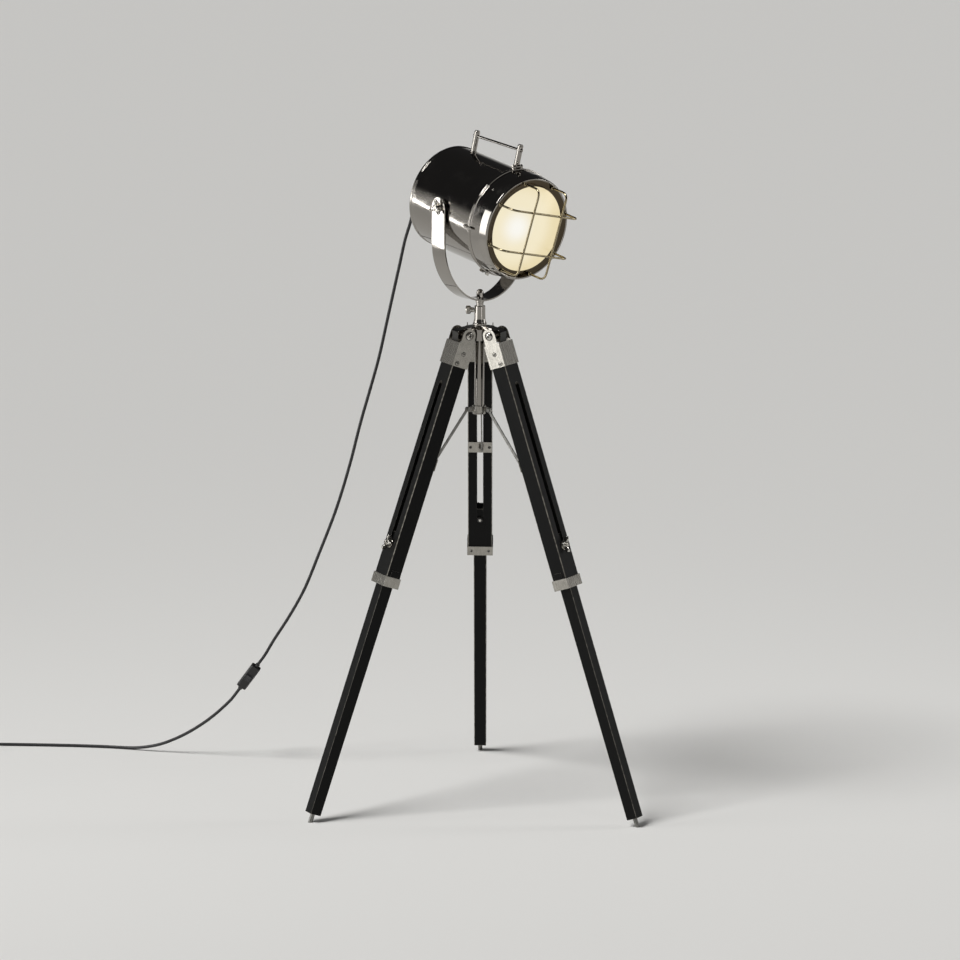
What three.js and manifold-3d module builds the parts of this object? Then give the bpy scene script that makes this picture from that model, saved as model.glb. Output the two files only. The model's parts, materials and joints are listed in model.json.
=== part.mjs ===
// Tripod spotlight: a round metal lamp head in a yoke on three folding, telescoping wooden legs.
// Millimetres, +Z up, the floor at Z 0. The pan axis is upright. Every piece is a mesh of its own.
import * as THREE from 'three';
import { mergeVertices } from 'three/addons/utils/BufferGeometryUtils.js';
import Module from 'manifold-3d';

const wasm = await Module();
wasm.setup();

// Shared clearances and overruns
const touchGap = 0.3;
const runGap = 0.4;
const overrun = 5;

// Stance of the tripod: leg hinges on a small circle, feet on a large one
const stance = { hingeHeight: 1060, hingeRadius: 41, footRadius: 415 };
const legTurns = { left: 210, right: 330, rear: 90 };
const spread = Math.atan2(stance.footRadius - stance.hingeRadius, stance.hingeHeight);
const legReach = Math.hypot(stance.footRadius - stance.hingeRadius, stance.hingeHeight);

// Upper leg: a wooden bar with a long slot through it and a channel for the lower leg
const upper = {
  width: 54, depth: 35, top: 21, bottom: 577, edge: 1.5, slotWidth: 14, slotTop: 111, channelSpare: 12,
};
// Metal foot at the lower leg's end
const foot = { radius: 5, length: 20 };
// Lower leg: a wooden bar that slides in the channel and tapers below the band
const lower = { width: 29, depth: 27, overlap: 120, travel: 160, tipWidth: 27.5, tipDepth: 25.5 };
const lowerTop = upper.bottom - lower.overlap;
const lowerBottom = legReach - foot.length;
const channel = {
  width: lower.width + 2 * touchGap, depth: lower.depth + 2 * touchGap,
  top: lowerTop - lower.travel - upper.channelSpare,
};
// Clamp bolt through the slot and the lower leg, with a wing nut
const clamp = {
  inset: 27, shaftRadius: 4, headRadius: 6, headThickness: 2.4, threadOut: 15,
  washerRadius: 10.5, washerThickness: 2, hubRadius: 8, hubHeight: 10, wingSpan: 36, wingHeight: 13,
  wingThickness: 4.5, wingDipShare: 0.45, wingTipShare: 0.3, wingTurn: 72,
};
const clampPlace = lowerTop + clamp.inset;
const slotBottom = clampPlace + upper.slotWidth / 2;

// Metal cap on the leg's top, with the two ears of the hinge
const cap = {
  wall: 1.7, plateTop: 19.6, bottom: 72, earRadius: 15.5, earFlare: 31, screwRadius: 4.2, screwRise: 1.2,
};
const capScrews = { placeShares: [0.42, 0.86], offsetShares: [0.02, 0.26] };
// Metal band on the leg's lower end, and the raised pads of the wood above it
const band = { height: 23, screwRadius: 3, screwRise: 1.2, screwInset: 7.5 };
const bandTop = upper.bottom - band.height;
const woodPad = { rise: 1.8, length: 14, depth: 18 };
// Plate and lug that the brace ends at
const plate = {
  place: 292, height: 27, width: upper.width, thickness: 1.7, lugRise: 8.5, lugThickness: 5, lugRadius: 5.5,
  screwRadius: 3, screwRise: 1.3, screwInset: 6,
};

// Hinge bolts through the ears and the crown's arms
const hingeBolt = { radius: 4, headRadius: 9.6, headHeight: 3.6, domeShare: 0.72 };
// Crown: a hub with three arms; the ends of the arms stop the legs
const crown = {
  drop: 13.5, rise: 17, hubRadius: 30, seatRadius: 17, armLength: 20, armWidth: 26, armEndRise: 11,
  armCorner: 3, bossRadius: 9.5,
};
const crownBottom = stance.hingeHeight - crown.drop;
const crownTop = stance.hingeHeight + crown.rise;
const armEndTop = stance.hingeHeight + crown.armEndRise;
const armReach = stance.hingeRadius + crown.armLength;
// Post under the crown, with a stop ring that the collar rests on
const post = { radius: 10.8, length: 167.5, stopRise: 3.2, stopHeight: 3.7 };
const postBottom = crownBottom - post.length;
const stopTop = postBottom + post.stopHeight;
const collar = { height: 15, wall: 4.3, pivotRadius: 27, lugRadius: 5.5, lugThickness: 5 };
const collarBore = post.radius + runGap;
const collarRadius = collarBore + collar.wall;
const collarBottom = stopTop + touchGap;
const collarTop = collarBottom + collar.height;
const brace = { width: 5.5, thickness: 3, eyeRadius: 5.5, pinRadius: 2, headRadius: 4, headHeight: 1.8 };

// Socket for the yoke's spigot, and its thumb screw
const spigot = { radius: 8, studRadius: 5, studRise: 11, neck: 13 };
const socket = { height: 42.7, wall: 3.7, baseRise: 3.5, waistHeight: 14, boreDepth: 34.3, flareHeight: 5 };
const socketSeat = crownTop + touchGap;
const socketTop = socketSeat + socket.height;
const socketBore = spigot.radius + touchGap;
const waistOut = socketBore + socket.wall;
const socketFoot = waistOut + socket.baseRise;
const boreBottom = socketTop - socket.boreDepth;
const thumb = { turn: 184, drop: 9, shaftRadius: 2.6, headRadius: 9.4, stand: 8, headLength: 11,
  rimBevel: 1 };
const thumbHeight = socketTop - thumb.drop;
const thumbIn = waistOut + thumb.stand;
const thumbOut = thumbIn + thumb.headLength;

// Barrel: an open drum with a flange; places along its axis are counted from the tilt axis
const barrel = {
  radius: 112, wall: 2, back: -105, beadRise: 1.5, beadLength: 5, flangeRise: 8, flangeLength: 3.7,
  front: 107.5, bossRadius: 13, bossSink: 5.3,
};
const flangeRadius = barrel.radius + barrel.flangeRise;
const flangeBack = barrel.front - barrel.flangeLength;
const bossIn = barrel.radius - barrel.bossSink;
// Guide lug at each side of the barrel, over the bezel's rim
const lug = { inset: 9, footLength: 8, footWidth: 7, width: 5, thickness: 2.6, reach: 22 };

// Head pose: pan and downward tilt at rest
const pose = { pan: -49.4, tilt: 8.6, axisDrop: 14 };
// Yoke: a flat strap bent to a U under the head, with the tilt axis near its ends
const yoke = { spare: 3, thickness: 4, width: 44, rise: 215, bendHeight: 139 };
const halfSpan = barrel.radius + yoke.spare;
const outerSpan = halfSpan + yoke.thickness;
const yokeBottom = socketTop + spigot.neck;
const tiltHeight = yokeBottom + yoke.rise;
const nut = { radius: 8, height: 11, domeHeight: 8, boreDepth: 12, domeShares: [0.8, 0.6] };
const knob = {
  shaftRadius: 4, shaftSink: 4.5, boreDepth: 8, washerRadius: 11, washerThickness: 2, hubRadius: 8.5,
  hubHeight: 12,
  lobeCount: 3, lobeRadius: 5.5, lobeReach: 14, lobeThickness: 7, neckShare: 0.7,
};

// Back cover, cable gland and handle
const cover = {
  rimThickness: 2.2, skirtLength: 9, skirtWall: 2, wall: 2, rise: 18.5, stepInset: 8,
  stepRise: 3, bendShares: [0.45, 0.78], riseShares: [0.93, 0.62],
};
const gland = {
  shankRadius: 8, shankIn: 6, hexRadius: 12.5, hexLength: 9, neckRadius: 8.5, neckBevel: 2, length: 29,
  endRadius: 5.4,
};
const handle = {
  rearPlace: -59, frontInset: 15.8, turn: 7, postRadius: 6.4, postHeight: 48, rodRadius: 3, rodHeight: 36,
  rodStand: 2,
  topBevel: 1.2, padWidth: 15, padLength: 23.5,
};
// Bezel with its lens and guard. Its rim stands over the barrel's flange.
const bezel = {
  wall: 2.5, rimRise: 1, rimLength: 3.8, bodyDrop: 3, frontDrop: 4, length: 54.8, edge: 2.4, rimBevel: 0.6,
  lipWidth: 19.5, lipThickness: 4, waistShare: 0.6, waistDropShare: 0.3,
};
const rimRadius = flangeRadius + bezel.rimRise;
const bodyRadius = rimRadius - bezel.bodyDrop;
const frontRadius = bodyRadius - bezel.frontDrop;
const lipRadius = frontRadius - bezel.lipWidth;
const bezelBack = barrel.front + touchGap;
const bezelFront = bezelBack + bezel.length;
const lens = { rise: 15, thickness: 3.4, gap: 0.6, flangeWidth: 11.5, flangeThickness: 3.2,
  ringShares: [0.45, 0.8] };
const guard = {
  wire: 2.4, levelOffset: 45, uprightOffset: 40.5, endInset: 9, stand: 52, crossStep: 4, bend: 11,
  bendSteps: 3,
  turn: 11.5,
};
const hinge = { radius: 4, boreRadius: 2.2, pinRadius: 1.9, rise: 5, halfBarrel: 6, halfBezel: 13, webIn: 3 };
const latch = {
  turns: { near: -62, far: -118 }, pivotInset: 12.5, pivotRise: 9, tongueHalf: 2.5, forkHalf: 5,
  pinRadius: 1.6,
  boreRadius: 1.95, eyeRadius: 3.5, plateThickness: 1.8, reach: 20.2, lipRise: 3.4, baseLength: 9,
};
const latchPivot = barrel.front - latch.pivotInset;
const latchTip = latchPivot + latch.reach;
// Reflector, lamp holder and bulb
const bulb = { baseRadius: 13.6, neckLength: 8, radius: 31, reach: 44, neckTurn: -40 };
const lampHolder = { radius: 17, inset: 2, boreGap: 0.6, boreDepth: 25 };
const reflector = { holeGap: 1.2, back: -40, frontInset: 4.5, wall: 1.2, rimLength: 2, curveSteps: 4 };
const reflectorFront = barrel.front - reflector.frontInset;
const reflectorHole = lampHolder.radius + reflector.holeGap;
const holderFront = reflector.back - lampHolder.inset;
const holderBore = bulb.baseRadius + lampHolder.boreGap;
const bulbCentre = holderFront + bulb.reach;

// Cord, with its switch, coil and plug. The route's points are chosen by hand.
const cord = { radius: 3.5, sides: 8, step: 25, floorLift: 0.12 };
const cordLead = 26;
const upperRoute = [
  [-139, 159, 1351], [-151, 168, 1322], [-158, 172, 1281], [-171, 177, 1236], [-183, 181, 1180],
  [-196, 185, 1120],
  [-212, 190, 1045], [-230, 195, 962], [-250, 201, 888], [-271, 208, 812], [-295, 215, 715], [-326, 225, 610],
  [-366, 237, 502], [-400, 248, 416], [-435, 259, 350], [-471, 270, 291],
];
const lowerRoute = [
  [-570, 301, 143], [-610, 314, 102], [-652, 327, 68], [-694, 340, 41], [-740, 354, 19], [-790, 368, 6.5],
];
const floorRoute = [[-840, 379], [-900, 386], [-980, 390], [-1060, 391]];
const coil = {
  x: -1196, pitch: 7.7, middleRadius: 31, turnsIn: 2.25, turnsOut: 2, startTurn: 90, steps: 24, sides: 6,
  layerRise: 7.7,
  climbTurns: 0.5,
};
const wire = {
  x: -529, y: 288, z: 201, alongX: -40, alongY: 13, alongZ: -57, length: 62, width: 23, height: 18, bevel: 3,
  sleeveRadius: 5.2, sleeveLength: 7,
};
const rocker = { radius: 8, width: 12, sink: 1, rise: 3.6, lean: 11, tipRise: 2, throw: 8 };
const plug = {
  sleeveLength: 32, sleeveRadius: 4.6, rootRadius: 6.4, length: 38, width: 35, height: 22, bevel: 4,
  pinRadius: 2.4, pinLength: 19, pinGap: 19,
};

const round = { big: 32, middle: 14, small: 8, wire: 6, bend: 20 };

// Finishes
const finish = (color, roughness,
  metalness) => new THREE.MeshStandardMaterial({ color, roughness, metalness });
const finishes = {
  chrome: () => finish(0xd7d9da, 0.08, 1),
  nickel: () => finish(0xb4b0a8, 0.34, 1),
  steel: () => finish(0xa9a9a6, 0.38, 1),
  wood: () => finish(0x181513, 0.38, 0),
  white: () => finish(0xe9e4d6, 0.5, 0),
  glass: () => finish(0xf5ecd2, 0.3, 0),
  black: () => finish(0x141415, 0.45, 0),
  grey: () => finish(0x2a2a2c, 0.4, 0),
};

const radians = THREE.MathUtils.degToRad;
const object = new THREE.Group();

// A closed mesh as a solid, with its shared corners merged and its faces pointing out
function solid(source) {
  const geometry = source.index ? source.toNonIndexed() : source.clone();
  geometry.deleteAttribute('normal');
  geometry.deleteAttribute('uv');
  const merged = mergeVertices(geometry, 1e-3);
  const points = merged.attributes.position;
  const triangles = [];
  let volume = 0;
  const [a, b, c] = [new THREE.Vector3(), new THREE.Vector3(), new THREE.Vector3()];
  for (let i = 0; i < merged.index.count; i += 3) {
    const corners = [merged.index.getX(i), merged.index.getX(i + 1), merged.index.getX(i + 2)];
    if (new Set(corners).size < 3) continue;
    triangles.push(corners);
    a.fromBufferAttribute(points, corners[0]);
    b.fromBufferAttribute(points, corners[1]);
    c.fromBufferAttribute(points, corners[2]);
    volume += a.dot(b.cross(c));
  }
  const order = volume < 0 ? ([p, q, r]) => [p, r, q] : (corners) => corners;
  return new wasm.Manifold(new wasm.Mesh({
    numProp: 3,
    vertProperties: new Float32Array(points.array),
    triVerts: new Uint32Array(triangles.flatMap(order)),
  }));
}

function piece(name, body, material, parent = object) {
  const mesh = body.getMesh();
  const geometry = new THREE.BufferGeometry();
  geometry.setAttribute('position', new THREE.BufferAttribute(new Float32Array(mesh.vertProperties), 3));
  geometry.setIndex(new THREE.BufferAttribute(new Uint32Array(mesh.triVerts), 1));
  geometry.computeVertexNormals();
  const item = new THREE.Mesh(geometry, material);
  item.name = name;
  parent.add(item);
  return item;
}

const join = (...bodies) => bodies.reduce((all, body) => all.add(body));
const cut = (body, ...tools) => tools.reduce((rest, tool) => rest.subtract(tool), body);

// A box from its low corner to its high corner
function block(low, high) {
  const size = high.map((value, i) => value - low[i]);
  const geometry = new THREE.BoxGeometry(...size);
  geometry.translate(...low.map((value, i) => value + size[i] / 2));
  return solid(geometry);
}

// A round bar from one place to another along x, y or z, centred on two given coordinates
function rod(axis, from, to, radius, at = [0, 0], sides = round.middle, endRadius = radius) {
  const geometry = new THREE.CylinderGeometry(endRadius, radius, to - from, sides);
  geometry.translate(0, (to + from) / 2, 0);
  if (axis === 'x') geometry.rotateZ(-Math.PI / 2).translate(0, at[0], at[1]);
  if (axis === 'y') geometry.translate(at[0], 0, at[1]);
  if (axis === 'z') geometry.rotateX(Math.PI / 2).translate(at[0], at[1], 0);
  return solid(geometry);
}

// A turned solid about y from [radius, place] points
const turned = (profile, sides = round.big) =>
  new THREE.LatheGeometry(profile.map(([r, y]) => new THREE.Vector2(r, y)), sides);
const turnedZ = (profile, sides = round.big) => solid(turned(profile, sides).rotateX(Math.PI / 2));

// A flat outline in x and y, as thick as given, centred on z 0
function slab(outline, thickness) {
  const shape = new THREE.Shape(outline.map(([x, y]) => new THREE.Vector2(x, y)));
  return new THREE.ExtrudeGeometry(shape, { depth: thickness, bevelEnabled: false }).translate(0, 0,
    -thickness / 2);
}

// Points on an arc, from one angle to another in degrees
function arc(x, y, radius, from, to, steps) {
  return Array.from({ length: steps + 1 }, (_, i) => {
    const angle = radians(from + ((to - from) * i) / steps);
    return [x + radius * Math.cos(angle), y + radius * Math.sin(angle)];
  });
}

// A rectangle with cut corners
const cutCorners = (width, depth, edge) => [
  [-width / 2 + edge, -depth / 2], [width / 2 - edge, -depth / 2], [width / 2, -depth / 2 + edge],
  [width / 2, depth / 2 - edge], [width / 2 - edge, depth / 2], [-width / 2 + edge, depth / 2],
  [-width / 2, depth / 2 - edge], [-width / 2, -depth / 2 + edge],
];

// A path through given points, with one step of the tube at each
class SteppedPath extends THREE.Curve {
  constructor(points) {
    super();
    this.points = points;
  }

  getPoint(share, target = new THREE.Vector3()) {
    return target.copy(this.points[Math.round(share * (this.points.length - 1))]);
  }

  getPointAt(share, target) {
    return this.getPoint(share, target);
  }

  getTangentAt(share, target = new THREE.Vector3()) {
    const last = this.points.length - 1;
    const i = Math.round(share * last);
    return target.subVectors(this.points[Math.min(i + 1, last)], this.points[Math.max(i - 1, 0)]).normalize();
  }
}

function tube(points, radius, sides) {
  const shape = new THREE.Shape(arc(0, 0, radius, 0, 360 - 360 / sides,
    sides - 1).map(([x, y]) => new THREE.Vector2(x, y)));
  const path = new SteppedPath(points);
  return solid(new THREE.ExtrudeGeometry(shape, { steps: points.length - 1, extrudePath: path,
    bevelEnabled: false }));
}

// Crown, post and collar
const armOutline = [
  [0, crownBottom], [armReach, crownBottom], [armReach, armEndTop - crown.armCorner],
  [armReach - crown.armCorner, armEndTop], [crown.seatRadius, crownTop], [0, crownTop],
];
const earInside = upper.width / 2 + touchGap;
const earOutside = earInside + cap.wall;
let crownBody = turnedZ([
  [0, crownBottom], [crown.hubRadius, crownBottom], [crown.hubRadius, armEndTop],
  [crown.seatRadius, crownTop], [0, crownTop],
]);
const crownTools = [];
for (const turn of Object.values(legTurns)) {
  const arm = solid(slab(armOutline, crown.armWidth).rotateX(Math.PI / 2));
  const boss = rod('y', -earInside + touchGap, earInside - touchGap, crown.bossRadius,
    [stance.hingeRadius, stance.hingeHeight]);
  const bore = rod('y', -earOutside, earOutside, hingeBolt.radius + touchGap,
    [stance.hingeRadius, stance.hingeHeight]);
  crownBody = join(crownBody, arm.rotate([0, 0, turn]), boss.rotate([0, 0, turn]));
  crownTools.push(bore.rotate([0, 0, turn]));
}
piece('crown', cut(crownBody, ...crownTools), finishes.chrome());

piece('centre_post', turnedZ([
  [0, postBottom], [post.radius + post.stopRise, postBottom], [post.radius + post.stopRise, stopTop],
  [post.radius, stopTop],
  [post.radius, crownBottom - touchGap], [0, crownBottom - touchGap],
], round.middle), finishes.chrome());

const collarHeight = (collarBottom + collarTop) / 2;
let collarBody = turnedZ([
  [collarBore, collarBottom], [collarRadius, collarBottom], [collarRadius, collarTop],
  [collarBore, collarTop], [collarBore, collarBottom],
], round.middle);
for (const turn of Object.values(legTurns)) {
  const inner = (post.radius + collarRadius) / 2;
  const outline = [
    [inner, collarHeight - collar.lugRadius],
    ...arc(collar.pivotRadius, collarHeight, collar.lugRadius, -90, 90, round.small / 2),
    [inner, collarHeight + collar.lugRadius],
  ];
  const tongue = solid(slab(outline, collar.lugThickness).rotateX(Math.PI / 2));
  const bore = rod('y', -collar.lugThickness, collar.lugThickness, brace.pinRadius + touchGap,
    [collar.pivotRadius, collarHeight], round.small);
  collarBody = cut(join(collarBody, tongue.rotate([0, 0, turn])), bore.rotate([0, 0, turn]));
}
const slideBore = rod('z', collarBottom - overrun, collarTop + overrun, collarBore, [0, 0], round.middle);
piece('collar', cut(collarBody, slideBore), finishes.nickel());

// Place of the brace's lower pivot, in the upright plane of a leg
const lugDepth = upper.depth / 2 + touchGap + plate.thickness + plate.lugRise;
const lugRadial = stance.hingeRadius + plate.place * Math.sin(spread) - lugDepth * Math.cos(spread);
const lugHeight = stance.hingeHeight - plate.place * Math.cos(spread) - lugDepth * Math.sin(spread);
const braceLength = Math.hypot(lugRadial - collar.pivotRadius, lugHeight - collarHeight);
const braceAngle = Math.atan2(lugRadial - collar.pivotRadius, collarHeight - lugHeight);

// A wing nut, or the like, about the y axis with its seat at y 0
function wingNut(sizes) {
  const { hubRadius, hubHeight, wingSpan, wingHeight, wingThickness, washerRadius, washerThickness } = sizes;
  const seat = washerThickness;
  const tip = sizes.wingTipShare * wingSpan;
  const outline = [
    [0, seat], [hubRadius, seat], [wingSpan / 2, seat + (hubHeight - seat) / 2],
    [wingSpan / 2, seat + wingHeight],
    [tip, seat + wingHeight], [hubRadius * sizes.wingDipShare, hubHeight],
    [-hubRadius * sizes.wingDipShare, hubHeight],
    [-tip, seat + wingHeight], [-wingSpan / 2, seat + wingHeight],
    [-wingSpan / 2, seat + (hubHeight - seat) / 2],
    [-hubRadius, seat],
  ];
  return join(
    rod('y', 0, washerThickness, washerRadius),
    rod('y', 0, hubHeight, hubRadius),
    solid(slab(outline, wingThickness)),
  );
}

// Legs. In a leg's frame the hinge is the origin, y points out through its outer face and -z runs down it.
const face = upper.depth / 2;
for (const [side, turn] of Object.entries(legTurns)) {
  const plan = new THREE.Group();
  plan.rotation.z = radians(turn - 90);
  object.add(plan);
  const leg = new THREE.Group();
  leg.position.set(0, stance.hingeRadius, stance.hingeHeight);
  leg.rotation.x = spread;
  plan.add(leg);

  // Hinge bolt with a domed head on each side
  const headIn = earOutside + touchGap;
  const bolt = [rod('x', -headIn - hingeBolt.headHeight / 2, headIn + hingeBolt.headHeight / 2,
    hingeBolt.radius)];
  for (const way of [-1, 1]) {
    const [from, to] = [headIn, headIn + hingeBolt.headHeight];
    const dome = rod('x', from, to, hingeBolt.headRadius, [0, 0], round.middle,
      hingeBolt.headRadius * hingeBolt.domeShare);
    bolt.push(way < 0 ? dome.rotate([0, 0, 180]) : dome);
  }
  piece(`hinge_bolt_${side}`, join(...bolt), finishes.nickel(), leg);

  // Cap
  const capInside = face + touchGap;
  const capOutside = capInside + cap.wall;
  const earOutline = [
    ...arc(0, 0, cap.earRadius, 0, 180, round.small),
    [-cap.earFlare / 2, -cap.plateTop], [-capOutside, -cap.plateTop - cap.wall], [-capOutside, -cap.bottom],
    [capOutside, -cap.bottom], [capOutside, -cap.plateTop - cap.wall], [cap.earFlare / 2, -cap.plateTop],
  ];
  const cheeks = solid(slab(earOutline, 2 * earOutside).rotateY(Math.PI / 2).rotateX(Math.PI / 2));
  const sleeve = block([-earOutside, -capOutside, -cap.bottom], [earOutside, capOutside, -cap.plateTop]);
  const inside = block([-earInside, -capInside, -cap.bottom - overrun], [earInside, capInside, 0]);
  const between = block([-earInside, -cap.earFlare, -cap.plateTop], [earInside, cap.earFlare, cap.earFlare]);
  const hingeBore = rod('x', -earOutside - overrun, earOutside + overrun, hingeBolt.radius + touchGap);
  const capParts = [cut(join(cheeks, sleeve), inside, between, hingeBore)];
  for (const way of [-1, 1]) {
    for (let i = 0; i < capScrews.placeShares.length; i += 1) {
      const place = -cap.plateTop - capScrews.placeShares[i] * (cap.bottom - cap.plateTop);
      const at = [capScrews.offsetShares[i] * upper.depth, place];
      const from = earInside + cap.wall / 2;
      const to = earOutside + cap.screwRise;
      capParts.push(rod('x', way < 0 ? -to : from, way < 0 ? -from : to, cap.screwRadius, at, round.small));
    }
  }
  piece(`leg_cap_${side}`, join(...capParts), finishes.nickel(), leg);

  // Upper leg
  const bar = solid(slab(cutCorners(upper.width, upper.depth, upper.edge), upper.bottom - upper.top)
    .translate(0, 0, -(upper.bottom + upper.top) / 2));
  const half = upper.slotWidth / 2;
  const slot = join(
    block([-half, -face - overrun, -slotBottom + half], [half, face + overrun, -upper.slotTop - half]),
    rod('y', -face - overrun, face + overrun, half, [0, -slotBottom + half]),
    rod('y', -face - overrun, face + overrun, half, [0, -upper.slotTop - half]),
  );
  const channelCut = block(
    [-channel.width / 2, -channel.depth / 2, -upper.bottom - overrun],
    [channel.width / 2, channel.depth / 2, -channel.top],
  );
  const padOut = upper.width / 2 + woodPad.rise;
  const padLow = -bandTop + touchGap;
  const woodPads = block([-padOut, -woodPad.depth / 2, padLow],
    [padOut, woodPad.depth / 2, padLow + woodPad.length]);
  piece(`upper_leg_${side}`, cut(join(bar, woodPads), slot, channelCut), finishes.wood(), leg);

  // Band round the upper leg's end
  const bandBody = cut(
    block([-earOutside, -capOutside, -upper.bottom], [earOutside, capOutside, -bandTop]),
    block([-earInside, -capInside, -upper.bottom - overrun], [earInside, capInside, 0]),
  );
  const bandScrews = [-1, 1].map((sign) => rod(
    'y', -capOutside - band.screwRise, -capOutside + cap.wall / 2, band.screwRadius,
    [sign * (upper.width / 2 - band.screwInset), -(upper.bottom + bandTop) / 2], round.small,
  ));
  piece(`leg_band_${side}`, join(bandBody, ...bandScrews), finishes.nickel(), leg);

  // Brace plate on the inner face
  const plateOut = capInside + plate.thickness;
  const lugOutline = [
    [plateOut - plate.thickness / 2, plate.place - plate.lugRadius],
    ...arc(lugDepth, plate.place, plate.lugRadius, -90, 90, round.small / 2),
    [plateOut - plate.thickness / 2, plate.place + plate.lugRadius],
  ];
  const plateParts = [
    block(
      [-plate.width / 2, -plateOut, -plate.place - plate.height / 2],
      [plate.width / 2, -capInside, -plate.place + plate.height / 2],
    ),
    solid(slab(lugOutline.map(([y, s]) => [-y, -s]),
      plate.lugThickness).rotateY(Math.PI / 2).rotateX(Math.PI / 2)),
  ];
  for (const sign of [-1, 1]) {
    const at = [sign * (plate.width / 2 - plate.screwInset), -plate.place];
    plateParts.push(rod('y', -plateOut - plate.screwRise, -plateOut + plate.thickness / 2, plate.screwRadius,
      at, round.small));
  }
  piece(`brace_plate_${side}`, join(...plateParts), finishes.nickel(), leg);

  // Lower leg, straight inside the upper leg and tapered below it
  const straight = upper.bottom - lowerTop;
  const taper = lowerBottom - upper.bottom;
  const legShape = new THREE.BoxGeometry(lower.width, lower.depth, straight + taper, 1, 1, 2);
  const corners = legShape.attributes.position;
  for (let i = 0; i < corners.count; i += 1) {
    const z = corners.getZ(i);
    if (z < -overrun) {
      const ratio = [lower.tipWidth / lower.width, lower.tipDepth / lower.depth];
      corners.setXYZ(i, corners.getX(i) * ratio[0], corners.getY(i) * ratio[1], -lowerBottom);
    } else {
      corners.setZ(i, z > overrun ? -lowerTop : -upper.bottom);
    }
  }
  const boltBore = rod('y', -face, face, clamp.shaftRadius + touchGap, [0, -clampPlace]);
  piece(`lower_leg_${side}`, cut(solid(legShape), boltBore), finishes.wood(), leg);

  // Foot peg, cut level with the floor
  const peg = rod('z', -legReach - foot.radius, -lowerBottom - touchGap, foot.radius, [0, 0], round.middle);
  const ground = block(
    [-foot.radius - overrun, -legReach, -stance.hingeHeight - legReach],
    [foot.radius + overrun, legReach, -stance.hingeHeight],
  ).rotate([-THREE.MathUtils.radToDeg(spread), 0, 0]);
  piece(`foot_${side}`, cut(peg, ground), finishes.steel(), leg);

  // Clamp bolt through the slot, and its wing nut
  const seat = face + touchGap;
  const clampBolt = join(
    rod('y', -seat - clamp.headThickness, -seat, clamp.headRadius, [0, -clampPlace]),
    rod('y', -seat - clamp.headThickness / 2, seat + clamp.threadOut, clamp.shaftRadius, [0, -clampPlace]),
  );
  piece(`clamp_bolt_${side}`, clampBolt, finishes.nickel(), leg);
  const nutBore = rod('y', -overrun, clamp.wingHeight + clamp.threadOut, clamp.shaftRadius + touchGap);
  const wings = piece(`wing_nut_${side}`, cut(wingNut(clamp), nutBore), finishes.nickel(), leg);
  wings.position.set(0, seat, -clampPlace);
  wings.rotation.y = radians(clamp.wingTurn);

  // Brace beside the collar's and the leg's lugs
  const braceGroup = new THREE.Group();
  braceGroup.position.set(0, collar.pivotRadius, collarHeight);
  braceGroup.rotation.x = braceAngle;
  plan.add(braceGroup);
  const near = collar.lugThickness / 2 + runGap;
  const far = near + brace.thickness;
  const strip = join(
    block([near, -brace.width / 2, -braceLength], [far, brace.width / 2, 0]),
    rod('x', near, far, brace.eyeRadius, [0, 0]),
    rod('x', near, far, brace.eyeRadius, [0, -braceLength]),
    rod('x', -near - brace.headHeight / 2, far + brace.headHeight / 2, brace.pinRadius, [0, 0], round.small),
    rod('x', -near - brace.headHeight, -near, brace.headRadius, [0, 0], round.small),
    rod('x', far - brace.thickness / 2, far + brace.headHeight, brace.headRadius, [0, 0], round.small),
    rod('x', far - brace.thickness / 2, far + brace.headHeight, brace.headRadius, [0, -braceLength],
      round.small),
  );
  piece(`brace_${side}`, strip, finishes.steel(), braceGroup);
}

// Socket, thumb screw
const thumbHole = rod('x', 0, socketFoot + overrun, thumb.shaftRadius + touchGap,
  [0, thumbHeight]).rotate([0, 0, thumb.turn]);
piece('socket', cut(turnedZ([
  [0, socketSeat], [socketFoot, socketSeat], [socketFoot, socketSeat + socket.flareHeight],
  [waistOut, socketSeat + socket.waistHeight], [waistOut, socketTop], [socketBore, socketTop],
  [socketBore, boreBottom], [0, boreBottom],
], round.middle), thumbHole), finishes.chrome());
const screwPlace = [0, thumbHeight];
piece('socket_screw', join(
  rod('x', socketBore + touchGap / 3, thumbOut - thumb.rimBevel, thumb.shaftRadius, screwPlace, round.small),
  rod('x', thumbIn, thumbOut - thumb.rimBevel, thumb.headRadius, screwPlace),
  rod('x', thumbOut - 2 * thumb.rimBevel, thumbOut, thumb.headRadius, screwPlace, round.middle,
    thumb.headRadius - thumb.rimBevel),
).rotate([0, 0, thumb.turn]), finishes.nickel());

// Yoke
const pan = new THREE.Group();
pan.rotation.z = radians(pose.pan - 90);
object.add(pan);
const strapTop = yokeBottom + yoke.thickness;
piece('yoke_spigot', turnedZ([
  [0, boreBottom + touchGap], [spigot.radius, boreBottom + touchGap], [spigot.radius, yokeBottom - touchGap],
  [spigot.studRadius, yokeBottom - touchGap], [spigot.studRadius, strapTop + spigot.studRise],
  [0, strapTop + spigot.studRise],
], round.middle), finishes.chrome(), pan);

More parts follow.
